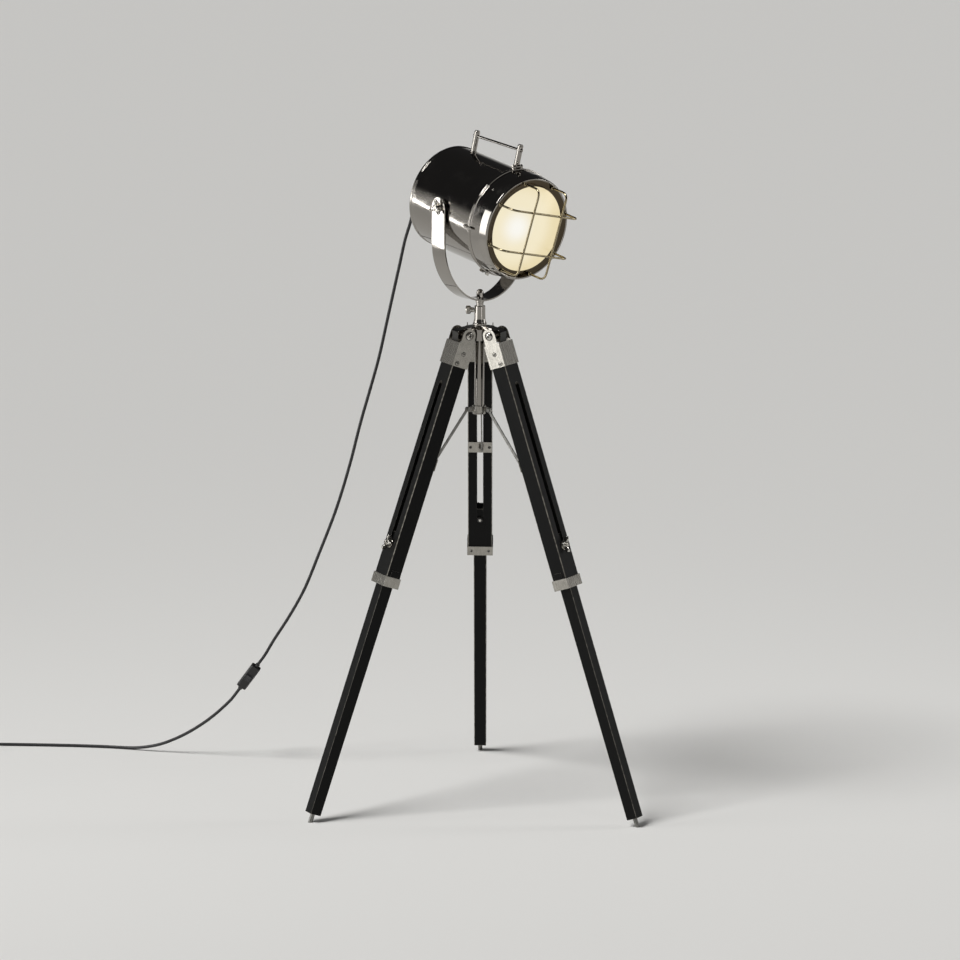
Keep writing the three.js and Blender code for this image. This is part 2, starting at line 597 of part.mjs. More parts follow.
const bendCentre = yokeBottom + yoke.bendHeight;
const strapEnd = tiltHeight + yoke.width;
const halfOval = (across, down, from, to) => arc(0, 0, 1, from, to, round.bend)
  .map(([x, y]) => [across * x, bendCentre + down * y]);
const strapOutline = [
  [-outerSpan, strapEnd], ...halfOval(outerSpan, yoke.bendHeight, 180, 360), [outerSpan, strapEnd],
  [halfSpan, strapEnd], ...halfOval(halfSpan, yoke.bendHeight - yoke.thickness, 360, 180),
  [-halfSpan, strapEnd],
];
const strapBand = solid(slab(strapOutline, yoke.width).rotateX(Math.PI / 2));
const strapLimits = join(
  block([-outerSpan - overrun, -yoke.width, yokeBottom - overrun],
    [outerSpan + overrun, yoke.width, tiltHeight]),
  rod('x', -outerSpan - overrun, outerSpan + overrun, yoke.width / 2, [0, tiltHeight]),
);
piece('yoke_strap', cut(
  strapBand.intersect(strapLimits),
  rod('x', -outerSpan - overrun, outerSpan + overrun, knob.shaftRadius + touchGap, [0, tiltHeight]),
  rod('z', yokeBottom - overrun, strapTop + overrun, spigot.studRadius + touchGap),
), finishes.chrome(), pan);

const bendStep = Math.PI / round.bend;
const bendSag = (yoke.bendHeight - yoke.thickness) * (1 - Math.cos(bendStep));
const nutSeat = strapTop + (bendSag * nut.radius) / (halfSpan * Math.sin(bendStep)) + touchGap;
piece('yoke_nut', turnedZ([
  [spigot.studRadius + touchGap, nutSeat], [nut.radius, nutSeat], [nut.radius, nutSeat + nut.height],
  [nut.radius * nut.domeShares[0], nutSeat + nut.height + nut.domeHeight * nut.domeShares[1]],
  [0, nutSeat + nut.height + nut.domeHeight],
  [0, nutSeat + nut.boreDepth], [spigot.studRadius + touchGap, nutSeat + nut.boreDepth],
  [spigot.studRadius + touchGap, nutSeat],
], round.middle), finishes.chrome(), pan);

// Head. In its frame x is the tilt axis, y runs forward along the barrel and z is up.
const head = new THREE.Group();
head.position.z = tiltHeight;
head.rotation.x = -radians(pose.tilt);
pan.add(head);
const axis = new THREE.Group();
axis.position.z = -pose.axisDrop;
head.add(axis);

const inner = barrel.radius - barrel.wall;
const bead = barrel.radius + barrel.beadRise;
const drum = solid(turned([
  [inner, barrel.back], [bead, barrel.back], [bead, barrel.back + barrel.beadLength],
  [barrel.radius, barrel.back + barrel.beadLength + barrel.beadRise],
  [barrel.radius, flangeBack - barrel.beadRise / 2],
  [flangeRadius, flangeBack], [flangeRadius, barrel.front], [inner, barrel.front], [inner, barrel.back],
]));
const pivot = [0, pose.axisDrop];
const bossOut = halfSpan - touchGap;
const bosses = [];
const bossBores = [];
const lugs = [];
for (const way of [-1, 1]) {
  const span = (from, to) => (way < 0 ? [-to, -from] : [from, to]);
  bosses.push(rod('x', ...span(bossIn, bossOut), barrel.bossRadius, pivot));
  bossBores.push(rod('x', ...span(bossIn - overrun, bossOut + overrun), knob.shaftRadius + touchGap, pivot));
  const lugIn = rimRadius + runGap;
  const lugPlace = barrel.front - lug.inset;
  const [footIn, footOut] = span(inner + barrel.wall / 2, lugIn + lug.thickness);
  const [tongueIn, tongueOut] = span(lugIn, lugIn + lug.thickness);
  lugs.push(
    block([footIn, lugPlace - lug.footLength / 2, -lug.footWidth / 2],
      [footOut, lugPlace + lug.footLength / 2, lug.footWidth / 2]),
    block([tongueIn, lugPlace, -lug.width / 2], [tongueOut, lugPlace + lug.reach, lug.width / 2]),
  );
}
const hingeAt = [0, (barrel.front + touchGap / 2), flangeRadius + hinge.rise];
const barrelKnuckle = join(
  rod('x', -hinge.halfBarrel, hinge.halfBarrel, hinge.radius, hingeAt.slice(1)),
  block(
    [-hinge.halfBarrel, flangeBack, flangeRadius - hinge.webIn],
    [hinge.halfBarrel, barrel.front, hingeAt[2]],
  ),
);
const hingeBore = rod('x', -hinge.halfBezel, hinge.halfBezel, hinge.boreRadius, hingeAt.slice(1),
  round.small);

// Latch tongues on the barrel, each with a bore across
const latchRadius = barrel.radius + latch.pivotRise;
const tongue = join(
  block([-latch.tongueHalf, latchPivot - latch.baseLength / 2, inner + barrel.wall / 2],
    [latch.tongueHalf, latchPivot + latch.baseLength / 2, latchRadius]),
  rod('x', -latch.tongueHalf, latch.tongueHalf, latch.eyeRadius, [latchPivot, latchRadius], round.small),
);
const tongueBore = rod('x', -latch.forkHalf, latch.forkHalf, latch.boreRadius, [latchPivot, latchRadius],
  round.small);
// Latches and tongues are laid out at the top and turned about the barrel's axis to their places
const aroundTurn = (degrees) => [0, -(degrees - 90), 0];
const pad = block(
  [-handle.padWidth / 2, flangeBack - handle.padLength, inner + barrel.wall / 2],
  [handle.padWidth / 2, flangeBack + barrel.wall / 2, flangeRadius],
).rotate([0, -handle.turn, 0]);
let barrelBody = join(drum, ...bosses, ...lugs, barrelKnuckle, pad);
for (const turn of Object.values(latch.turns)) {
  barrelBody = cut(join(barrelBody, tongue.rotate(aroundTurn(turn))), tongueBore.rotate(aroundTurn(turn)));
}
piece('barrel', cut(barrelBody, hingeBore, ...bossBores), finishes.chrome(), axis);

const cheekIn = latch.tongueHalf + touchGap;
const plateIn = rimRadius + runGap;
const plateOut = plateIn + latch.plateThickness;
const latchBody = join(
  block([-latch.forkHalf, latchPivot + latch.eyeRadius + touchGap, plateIn],
    [latch.forkHalf, latchTip, plateOut]),
  block([-latch.forkHalf, latchTip - latch.plateThickness, plateIn],
    [latch.forkHalf, latchTip, plateOut + latch.lipRise]),
  ...[[-latch.forkHalf, -cheekIn], [cheekIn, latch.forkHalf]].flatMap(([from, to]) => [
    rod('x', from, to, latch.eyeRadius, [latchPivot, latchRadius], round.small),
    block([from, latchPivot, plateIn], [to, latchTip - latch.plateThickness, plateOut]),
  ]),
  rod('x', -latch.forkHalf, latch.forkHalf, latch.pinRadius, [latchPivot, latchRadius], round.small),
);
for (const [side, turn] of Object.entries(latch.turns)) {
  piece(`latch_${side}`, latchBody.rotate(aroundTurn(turn)), finishes.chrome(), axis);
}

// Back cover: a shallow dome with a skirt in the barrel and a hole for the gland
const coverSeat = barrel.back - touchGap;
const rimBack = coverSeat - cover.rimThickness;
const domeBack = rimBack - cover.rise;
const coverHole = gland.shankRadius + touchGap;
const skirtOut = inner - runGap;
const domePoint = (i, inward) => [barrel.radius * cover.bendShares[i],
  rimBack - cover.rise * cover.riseShares[i] + inward];
piece('back_cover', solid(turned([
  [coverHole, domeBack], domePoint(0, 0), domePoint(1, 0),
  [barrel.radius - cover.stepInset, rimBack - cover.stepRise],
  [barrel.radius, rimBack], [barrel.radius, coverSeat], [skirtOut, coverSeat],
  [skirtOut, coverSeat + cover.skirtLength],
  [skirtOut - cover.skirtWall, coverSeat + cover.skirtLength], [skirtOut - cover.skirtWall, coverSeat],
  [barrel.radius - cover.stepInset - cover.wall, rimBack - cover.stepRise + cover.wall],
  domePoint(1, cover.wall), domePoint(0, cover.wall), [coverHole, domeBack + cover.wall],
  [coverHole, domeBack],
])), finishes.chrome(), axis);

// Gland with a tapered sleeve; its end face meets the cord
const glandSeat = domeBack - touchGap;
const glandEnd = glandSeat - gland.hexLength - gland.length;
const glandHex = solid(turned([
  [0, glandSeat - gland.hexLength], [gland.hexRadius, glandSeat - gland.hexLength],
  [gland.hexRadius, glandSeat], [0, glandSeat],
], 6));
piece('cable_gland', join(solid(turned([
  [0, glandSeat + gland.shankIn], [gland.shankRadius, glandSeat + gland.shankIn],
  [gland.shankRadius, glandSeat - gland.hexLength],
  [gland.neckRadius, glandSeat - gland.hexLength - gland.neckBevel],
  [gland.endRadius, glandEnd], [0, glandEnd],
], round.middle)), glandHex), finishes.black(), axis);

// Handle: a rear post on the drum and a front post on the pad by the flange, joined by a rod through both
const grip = new THREE.Group();
grip.rotation.y = -radians(handle.turn);
axis.add(grip);
const rearPost = [handle.rearPlace, barrel.radius + touchGap];
const frontPost = [flangeBack - handle.frontInset, flangeRadius + touchGap];
const [rodRun, rodClimb] = frontPost.map((value, i) => value - rearPost[i]);
const rodSlope = THREE.MathUtils.radToDeg(Math.atan2(rodClimb, rodRun));
const rodSpan = Math.hypot(rodRun, rodClimb);
const rodOver = handle.postRadius + handle.rodStand;
const handleRod = rod('y', -rodOver, rodSpan + rodOver, handle.rodRadius, [0, 0], round.small)
  .rotate([rodSlope, 0, 0])
  .translate([0, rearPost[0], rearPost[1] + handle.rodHeight]);
const handlePosts = [rearPost, frontPost].map(([place, base]) => {
  const top = base + handle.postHeight;
  const tipRadius = handle.postRadius - handle.topBevel;
  return join(
    rod('z', base, top - handle.topBevel, handle.postRadius, [0, place]),
    rod('z', top - 2 * handle.topBevel, top, handle.postRadius, [0, place], round.middle, tipRadius),
  );
});
piece('handle', join(handleRod, ...handlePosts), finishes.chrome(), grip);

// Reflector, lamp holder and bulb
const bowl = (offset) => Array.from({ length: reflector.curveSteps + 1 }, (_, i) => {
  const share = i / reflector.curveSteps;
  const reach = inner - runGap - reflector.wall - reflectorHole;
  return [reflectorHole + reach * share + offset,
    reflector.back + (reflectorFront - reflector.back) * share * share];
});
const rimOut = inner - runGap;
piece('reflector', solid(turned([
  ...bowl(0), [rimOut - reflector.wall, reflectorFront + reflector.rimLength],
  [rimOut, reflectorFront + reflector.rimLength],
  ...bowl(reflector.wall).reverse(), bowl(0)[0],
])), finishes.chrome(), axis);
const holderBack = glandSeat + gland.shankIn + runGap;
piece('lamp_holder', solid(turned([
  [0, holderBack], [lampHolder.radius, holderBack], [lampHolder.radius, holderFront],
  [holderBore, holderFront],
  [holderBore, holderFront - lampHolder.boreDepth], [0, holderFront - lampHolder.boreDepth],
], round.middle)), finishes.white(), axis);
const bulbBack = holderFront - lampHolder.boreDepth + runGap;
piece('bulb', solid(turned([
  [0, bulbBack], [bulb.baseRadius, bulbBack], [bulb.baseRadius, holderFront + bulb.neckLength],
  ...arc(0, bulbCentre, bulb.radius, bulb.neckTurn, 90, round.small),
], round.middle)), finishes.white(), axis);

// Bezel: a turned ring with a rear rim, a front lip and two hinge knuckles
const waist = bezelBack + bezel.rimLength + bezel.waistShare * (bezelFront - bezelBack - bezel.rimLength);
const waistRadius = bodyRadius - bezel.waistDropShare * (bodyRadius - frontRadius);
const lipBack = bezelFront - bezel.lipThickness;
const bezelRing = solid(turned([
  [bodyRadius - bezel.wall, bezelBack], [rimRadius, bezelBack], [rimRadius, bezelBack + bezel.rimLength],
  [bodyRadius, bezelBack + bezel.rimLength + bezel.rimBevel], [waistRadius, waist],
  [frontRadius, bezelFront - bezel.edge], [frontRadius - bezel.edge, bezelFront],
  [lipRadius, bezelFront], [lipRadius, lipBack], [frontRadius - bezel.wall, lipBack],
  [waistRadius - bezel.wall, waist], [bodyRadius - bezel.wall, bezelBack],
]));
const knuckles = [];
for (const [from, to] of [[-hinge.halfBezel, -hinge.halfBarrel - runGap],
  [hinge.halfBarrel + runGap, hinge.halfBezel]]) {
  knuckles.push(rod('x', from, to, hinge.radius, hingeAt.slice(1)));
  knuckles.push(block([from, hingeAt[1], rimRadius - hinge.webIn],
    [to, hingeAt[1] + hinge.radius, hingeAt[2]]));
}
const hingePin = rod('x', -hinge.halfBezel, hinge.halfBezel, hinge.pinRadius, hingeAt.slice(1), round.small);
const trim = block([-hinge.halfBezel, flangeBack, bodyRadius - bezel.wall],
  [hinge.halfBezel, bezelBack, rimRadius]);
piece('bezel', join(bezelRing, ...knuckles.map((part) => cut(part, trim)), hingePin), finishes.chrome(),
  axis);

// Lens: a frosted dome that stands through the lip, with a flange behind it
const domeEdge = lipRadius - lens.gap;
const lensRim = lipBack - touchGap;
const domePlace = (radius) => bezelFront + lens.rise * (1 - (radius / domeEdge) ** 2) - bezel.edge / 2;
const lensRings = lens.ringShares.map((share) => share * domeEdge);
piece('lens', solid(turned([
  [0, domePlace(0)], ...lensRings.map((r) => [r, domePlace(r)]), [domeEdge, domePlace(domeEdge)],
  [domeEdge, lensRim],
  [lipRadius + lens.flangeWidth, lensRim], [lipRadius + lens.flangeWidth, lensRim - lens.flangeThickness],
  [domeEdge - lens.thickness, lensRim - lens.flangeThickness],
  ...lensRings.reverse().map((r) => [r, domePlace(r) - lens.thickness]), [0, domePlace(0) - lens.thickness],
])), finishes.glass(), axis);

// Guard: four bent wires, welded where they cross, whose ends meet the bezel's face
const wireEnd = bezelFront + touchGap;
const guardWires = [];
const guardPairs = [
  ['level', guard.stand - guard.crossStep, guard.levelOffset, guard.uprightOffset],
  ['upright', guard.stand, guard.uprightOffset, guard.levelOffset],
];
for (const [kind, level, offset, crossing] of guardPairs) {
  for (const sign of [-1, 1]) {
    const reach = Math.sqrt((frontRadius - guard.endInset) ** 2 - offset ** 2);
    const front = bezelFront + level;
    const corner = arc(reach - guard.bend, front - guard.bend, guard.bend, 0, 90, guard.bendSteps);
    const outline = [[reach, wireEnd], [reach, (wireEnd + front) / 2], ...corner, [crossing, front]];
    const whole = [...outline, [0, front], ...outline.map(([u, y]) => [-u, y]).reverse()];
    const points = whole.map(([u, y]) => (kind === 'level'
      ? new THREE.Vector3(u, y, sign * offset)
      : new THREE.Vector3(sign * offset, y, u)));
    guardWires.push(tube(points, guard.wire, round.wire));
  }
}
piece('guard', join(...guardWires).rotate([0, -guard.turn, 0]), finishes.chrome(), axis);

// Tilt screws into the barrel's bosses, each with a knob of a washer, a hub and lobes
for (const [side, way] of [['near', 1], ['far', -1]]) {
  const seat = outerSpan + touchGap;
  const aside = way < 0 ? [0, 0, 180] : [0, 0, 0];
  const stemEnd = seat + knob.boreDepth;
  const stem = rod('x', barrel.radius - knob.shaftSink, stemEnd - touchGap, knob.shaftRadius);
  piece(`tilt_screw_${side}`, stem.rotate(aside), finishes.steel(), head);
  const parts = [
    rod('x', seat, seat + knob.washerThickness, knob.washerRadius),
    rod('x', seat, seat + knob.hubHeight, knob.hubRadius),
  ];
  for (let i = 0; i < knob.lobeCount; i += 1) {
    const angle = (i * 360) / knob.lobeCount;
    const [from, to] = [seat + knob.hubHeight - knob.lobeThickness, seat + knob.hubHeight];
    const lobe = join(
      rod('x', from, to, knob.lobeRadius, [0, knob.lobeReach], round.small),
      block([from, -knob.lobeRadius * knob.neckShare, 0],
        [to, knob.lobeRadius * knob.neckShare, knob.lobeReach]),
    );
    parts.push(lobe.rotate([angle, 0, 0]));
  }
  const stemBore = rod('x', seat - overrun, stemEnd, knob.shaftRadius + touchGap);
  piece(`tilt_knob_${side}`, cut(join(...parts), stemBore).rotate(aside), finishes.nickel(), head);
}

// Cord from the gland to the switch, from there to the coil, and the coil itself
object.updateMatrixWorld(true);
const atAxis = (y) => axis.localToWorld(new THREE.Vector3(0, y, 0));
const vector = ([x, y, z]) => new THREE.Vector3(x, y, z);
const floorLevel = cord.radius + cord.floorLift;

function laid(points) {
  const curve = new THREE.CatmullRomCurve3(points, false, 'centripetal');
  return curve.getSpacedPoints(Math.max(2, Math.round(curve.getLength() / cord.step)));
}

const cordStart = atAxis(glandEnd - touchGap);
const cordSecond = atAxis(glandEnd - touchGap - cordLead);
const wireCentre = new THREE.Vector3(wire.x, wire.y, wire.z);
const wireAlong = new THREE.Vector3(wire.alongX, wire.alongY, wire.alongZ).normalize();
const wireHalf = wire.length / 2 + wire.sleeveLength + touchGap;
const onWire = (distance) => wireCentre.clone().addScaledVector(wireAlong, distance);
const upperPoints = laid([cordStart, cordSecond, ...upperRoute.map(vector), onWire(-wireHalf - cordLead),
  onWire(-wireHalf)]);
piece('cord_upper', tube(upperPoints, cord.radius, cord.sides), finishes.black());

const coilTurns = coil.turnsIn + coil.turnsOut;
const coilOuter = coil.middleRadius + coil.pitch * coil.turnsIn;
const coilEntryY = floorRoute[floorRoute.length - 1][1];
const coilCentre = { x: coil.x, y: coilEntryY - coilOuter };
const coilPoint = (turns) => {
  const angle = radians(coil.startTurn + 360 * (turns + coil.turnsIn));
  const radius = coil.middleRadius + coil.pitch * Math.abs(turns);
  const climb = THREE.MathUtils.clamp(turns / coil.climbTurns + 1 / 2, 0, 1);
  const rise = coil.layerRise * (1 - Math.cos(Math.PI * climb)) / 2;
  return new THREE.Vector3(coilCentre.x + radius * Math.cos(angle), coilCentre.y + radius * Math.sin(angle),
    floorLevel + rise);
};
const coilSteps = Math.round(coilTurns * coil.steps);
const winding = Array.from({ length: coilSteps + 1 },
  (_, i) => coilPoint(-coil.turnsIn + (coilTurns * i) / coilSteps));
const straightEnd = 2 * cord.radius;
const coilEntry = winding[0].clone().add(new THREE.Vector3(straightEnd, 0, 0));
const coilExit = winding[winding.length - 1].clone().add(new THREE.Vector3(0, -straightEnd, 0));
const coilPath = [coilEntry, ...winding, coilExit];
piece('cord_coil', tube(coilPath, cord.radius, coil.sides), finishes.black());

const lowerPoints = laid([
  onWire(wireHalf), onWire(wireHalf + cordLead), ...lowerRoute.map(vector),
  ...floorRoute.map(([x, y]) => new THREE.Vector3(x, y, floorLevel)),
  coilEntry.clone().add(new THREE.Vector3(touchGap + cordLead, 0, 0)),
  coilEntry.clone().add(new THREE.Vector3(touchGap, 0, 0)),
]);
for (const point of lowerPoints) point.z = Math.max(point.z, floorLevel);
piece('cord_lower', tube(lowerPoints, cord.radius, cord.sides), finishes.black());

// Least gap of the coil to itself, between points more than a third of a turn apart
let leastGap = Infinity;
for (let i = 0; i < coilPath.length; i += 1) {
  for (let j = i + Math.round(coil.steps / 3); j < coilPath.length; j += 1) {
    const start = coilPath[j - 1];
    const run = new THREE.Line3(start, coilPath[j]);
    const nearest = run.closestPointToPoint(coilPath[i], true, new THREE.Vector3());
    leastGap = Math.min(leastGap, nearest.distanceTo(coilPath[i]) - 2 * cord.radius);
  }
}
const lengthOf = (points) => points.slice(1).reduce((sum, point, i) => sum + point.distanceTo(points[i]), 0);
const cordLength = lengthOf(upperPoints) + lengthOf(lowerPoints) + lengthOf(coilPath);
console.log(`coil: least gap to itself ${leastGap.toFixed(2)} mm`);
console.log(`coil: length ${lengthOf(coilPath).toFixed(0)} mm`);
console.log(`cord: length ${cordLength.toFixed(0)} mm`);

// Switch on the cord. In its frame z runs down the cord and y points out through the rocker.
const wireGroup = new THREE.Group();
wireGroup.position.copy(wireCentre);
const wireOut = new THREE.Vector3(0, -1, 0).cross(wireAlong).normalize();
const wireFace = wireAlong.clone().cross(wireOut).normalize();
wireGroup.quaternion.setFromRotationMatrix(new THREE.Matrix4().makeBasis(wireOut, wireFace.clone(),
  wireAlong));
object.add(wireGroup);
const switchShape = solid(slab(cutCorners(wire.width, wire.height, wire.bevel), wire.length));
const rockerPlace = [wire.height / 2 - rocker.sink, 0];
const pocket = rod('x', -rocker.width / 2 - runGap, rocker.width / 2 + runGap, rocker.radius + runGap,
  rockerPlace);
piece('switch_body', cut(join(
  switchShape,
  rod('z', wire.length / 2 - wire.bevel, wire.length / 2 + wire.sleeveLength, wire.sleeveRadius, [0, 0],
    round.small),
  rod('z', -wire.length / 2 - wire.sleeveLength, -wire.length / 2 + wire.bevel, wire.sleeveRadius, [0, 0],
    round.small),
), pocket), finishes.black(), wireGroup);
const rockerTrims = [-1, 1].map((sign) => block(
  [-rocker.width, rocker.rise, sign < 0 ? -2 * rocker.radius : 0],
  [rocker.width, 2 * rocker.radius, sign < 0 ? 0 : 2 * rocker.radius],
).rotate([-sign * rocker.lean, 0, 0]).translate([0, rockerPlace[0] - rocker.tipRise / 2, 0]));
const rockerHead = rod('x', -rocker.width / 2, rocker.width / 2, rocker.radius, rockerPlace);
const rockerBody = cut(rockerHead, ...rockerTrims);
piece('switch_rocker', rockerBody.translate([0, -rockerPlace[0], 0]).rotate([rocker.throw, 0, 0])
  .translate([0, rockerPlace[0], 0]), finishes.grey(), wireGroup);

// Plug at the coil's end. In its frame z runs from the cord to the pins.
const plugGroup = new THREE.Group();
plugGroup.position.copy(coilExit).add(new THREE.Vector3(0, -touchGap, 0));
plugGroup.rotation.x = Math.PI / 2;
object.add(plugGroup);
const plugFront = plug.sleeveLength + plug.length;
piece('plug', join(
  rod('z', 0, plug.sleeveLength + plug.bevel, plug.sleeveRadius, [0, 0], round.small, plug.rootRadius),
  solid(slab(cutCorners(plug.width, plug.height, plug.bevel), plug.length).translate(0, 0,
    plug.sleeveLength + plug.length / 2)),
  ...[-1, 1].map((sign) => rod('z', plugFront - plug.bevel, plugFront + plug.pinLength, plug.pinRadius,
    [sign * plug.pinGap / 2, 0], round.small)),
), finishes.black(), plugGroup);

// The floor point under the middle of the object without its cord is the origin
object.updateMatrixWorld(true);
const bounds = new THREE.Box3();
const onCord = ['cord_upper', 'cord_lower', 'cord_coil', 'switch_body', 'switch_rocker', 'plug'];
object.traverse((item) => {
  if (item.isMesh && !onCord.includes(item.name)) bounds.union(new THREE.Box3().setFromObject(item, true));
});
const middle = bounds.getCenter(new THREE.Vector3());
object.position.set(-middle.x, -middle.y, -bounds.min.z);
console.log(`origin moved by ${object.position.toArray().map((value) => value.toFixed(3)).join(' ')}`);
const braceTurn = THREE.MathUtils.radToDeg(braceAngle);
console.log(`brace: length ${braceLength.toFixed(2)}, angle ${braceTurn.toFixed(3)}`);
object.updateMatrixWorld(true);

export default object;
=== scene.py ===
"""Tripod spotlight: fine meshes, finishes, cord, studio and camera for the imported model.

Places are in metres in the model's frame, +Z up. Each piece is shaped in millimetres in a frame of its own.
Turns and angles are in degrees unless a comment says otherwise.
"""
from __future__ import annotations

import json
import logging
import math
from dataclasses import dataclass
from enum import Enum
from typing import Iterable, Sequence

import bmesh
import bpy
from mathutils import Matrix, Quaternion, Vector


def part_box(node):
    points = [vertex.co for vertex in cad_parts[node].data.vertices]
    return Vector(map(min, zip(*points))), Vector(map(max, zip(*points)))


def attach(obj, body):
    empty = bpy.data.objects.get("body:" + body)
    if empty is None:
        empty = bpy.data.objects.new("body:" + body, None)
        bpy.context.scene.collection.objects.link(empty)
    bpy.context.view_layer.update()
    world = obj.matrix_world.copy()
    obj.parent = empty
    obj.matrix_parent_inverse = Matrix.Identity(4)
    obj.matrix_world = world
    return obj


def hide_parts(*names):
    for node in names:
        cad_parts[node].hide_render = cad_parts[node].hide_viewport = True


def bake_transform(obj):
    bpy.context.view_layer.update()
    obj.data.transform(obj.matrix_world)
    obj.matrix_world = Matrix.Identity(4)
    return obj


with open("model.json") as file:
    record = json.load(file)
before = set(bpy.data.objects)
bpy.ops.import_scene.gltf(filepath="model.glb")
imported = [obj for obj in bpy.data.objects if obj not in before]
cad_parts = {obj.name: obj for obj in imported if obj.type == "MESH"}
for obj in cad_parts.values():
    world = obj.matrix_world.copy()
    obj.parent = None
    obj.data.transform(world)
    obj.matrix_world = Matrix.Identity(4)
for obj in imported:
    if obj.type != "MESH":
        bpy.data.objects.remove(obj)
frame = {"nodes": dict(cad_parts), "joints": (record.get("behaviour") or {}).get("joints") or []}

# One millimetre in metres
MM = 0.001
# Gaps between pieces that are clamped together and between pieces that turn or slide, in millimetres
TOUCH = 0.3
RUN = 0.4
# Sockets of a colour Mix node: its share, its two colours and its result
SHARE, FIRST, SECOND, MIXED = 0, 6, 7, 2
LOG = logging.getLogger("tripod_spotlight")
Point = Sequence[float]
Outline = tuple[tuple[float, float], ...]


class Leg(Enum):
    """The tripod's three legs."""

    LEFT = "left"
    RIGHT = "right"
    REAR = "rear"


class Side(Enum):
    """The two sides of the head: near the camera and far from it."""

    NEAR = 1
    FAR = -1


def linear(code: str) -> tuple[float, float, float, float]:
    """Turns an sRGB hex colour to linear values.

    Args:
        code: the colour as #RRGGBB.

    Returns:
        Red, green, blue and an alpha of 1.
    """
    values = [int(code[i:i + 2], 16) / 255 for i in (1, 3, 5)]
    red, green, blue = (v / 12.92 if v <= 0.04045 else ((v + 0.055) / 1.055) ** 2.4 for v in values)
    return red, green, blue, 1.0


def add_node(tree: bpy.types.NodeTree, kind: str, inputs: dict | None = None, **settings) -> bpy.types.Node:
    """Adds a node with its settings, values and links.

    Args:
        tree: the node tree.
        kind: the node's type name.
        inputs: socket name or number to a value, or to the output socket that feeds it.
        settings: properties of the node.

    Returns:
        The new node.
    """
    node = tree.nodes.new(kind)
    for name, value in settings.items():
        setattr(node, name, value)
    for socket, value in (inputs or {}).items():
        if isinstance(value, bpy.types.NodeSocket):
            tree.links.new(value, node.inputs[socket])
        else:
            node.inputs[socket].default_value = value
    return node


def scale_of(size_mm: float) -> float:
    """Returns the scale of a pattern whose features have this size."""
    return 1 / (size_mm * MM)


def noise_to(low: float, high: float, start: float = 0.3, end: float = 0.7) -> dict[str, float]:
    """Returns a Map Range node's values that turn noise from start to end into values from low to high."""
    return {"From Min": start, "From Max": end, "To Min": low, "To Max": high}


@dataclass(frozen=True)
class Finish:
    """A finish with its name and the record's material slot that it belongs to."""

    name: str
    slot: str

    def material(self) -> bpy.types.Material:
        """Makes the finish's material at its first use.

        Returns:
            The material.
        """
        found = bpy.data.materials.get(self.name)
        if found:
            return found
        made = bpy.data.materials.new(self.name)
        made.use_nodes = True
        self.dress(made.node_tree, made.node_tree.nodes["Principled BSDF"])
        return made

    def dress(self, tree: bpy.types.NodeTree, shader: bpy.types.Node) -> None:
        """Fills in the nodes of a material's tree round its Principled BSDF."""
        raise NotImplementedError

    @staticmethod
    def place(tree: bpy.types.NodeTree, scale: Point = (1, 1, 1)) -> bpy.types.NodeSocket:
        """Returns the piece's own coordinates in metres, stretched by scale along its own axes."""
        own = add_node(tree, "ShaderNodeAttribute", attribute_name="place").outputs["Vector"]
        return add_node(tree, "ShaderNodeMapping", {"Vector": own, "Scale": scale}).outputs["Vector"]


@dataclass(frozen=True)
class PolishedNickel(Finish):
    """Nickel plate buffed to a mirror, its colour darkened as painted shade that stands in for a dark room's
    reflections: deep sharp reflections, faint cloudy smears and a slight wave.
    """

    # Darker than bright nickel: painted shade, so the mirror reflects as if in a dark room
    colour: str = "#9B9791"
    smear_mm: float = 34
    # Real buffing marks are about 0.1 mm wide, too fine to show, so they are drawn coarser
    grit_mm: float = 1.6
    wave_mm: float = 60
    wave_depth_mm: float = 0.3
    gloss: tuple[float, float] = (0.035, 0.16)

    def dress(self, tree: bpy.types.NodeTree, shader: bpy.types.Node) -> None:
        """Fills in the nodes.

        Args:
            tree: the material's node tree.
            shader: its Principled BSDF.
        """
        own = self.place(tree)
        smear, grit, wave = (
            add_node(tree, "ShaderNodeTexNoise", {"Vector": own, "Scale": scale_of(size), "Detail": detail})
            for size, detail in ((self.smear_mm, 4), (self.grit_mm, 2), (self.wave_mm, 1))
        )
        both = add_node(tree, "ShaderNodeMath", {
            0: smear.outputs["Fac"], 1: grit.outputs["Fac"],
        }, operation="MULTIPLY")
        rough = add_node(tree, "ShaderNodeMapRange", {
            "Value": both.outputs[0], **noise_to(*self.gloss, start=0.2, end=0.42),
        })
        bump = add_node(tree, "ShaderNodeBump", {
            "Height": wave.outputs["Fac"], "Strength": 0.25, "Distance": self.wave_depth_mm * MM,
        })
        shader.inputs["Base Color"].default_value = linear(self.colour)
        shader.inputs["Metallic"].default_value = 1
        tree.links.new(rough.outputs[0], shader.inputs["Roughness"])
        tree.links.new(bump.outputs[0], shader.inputs["Normal"])


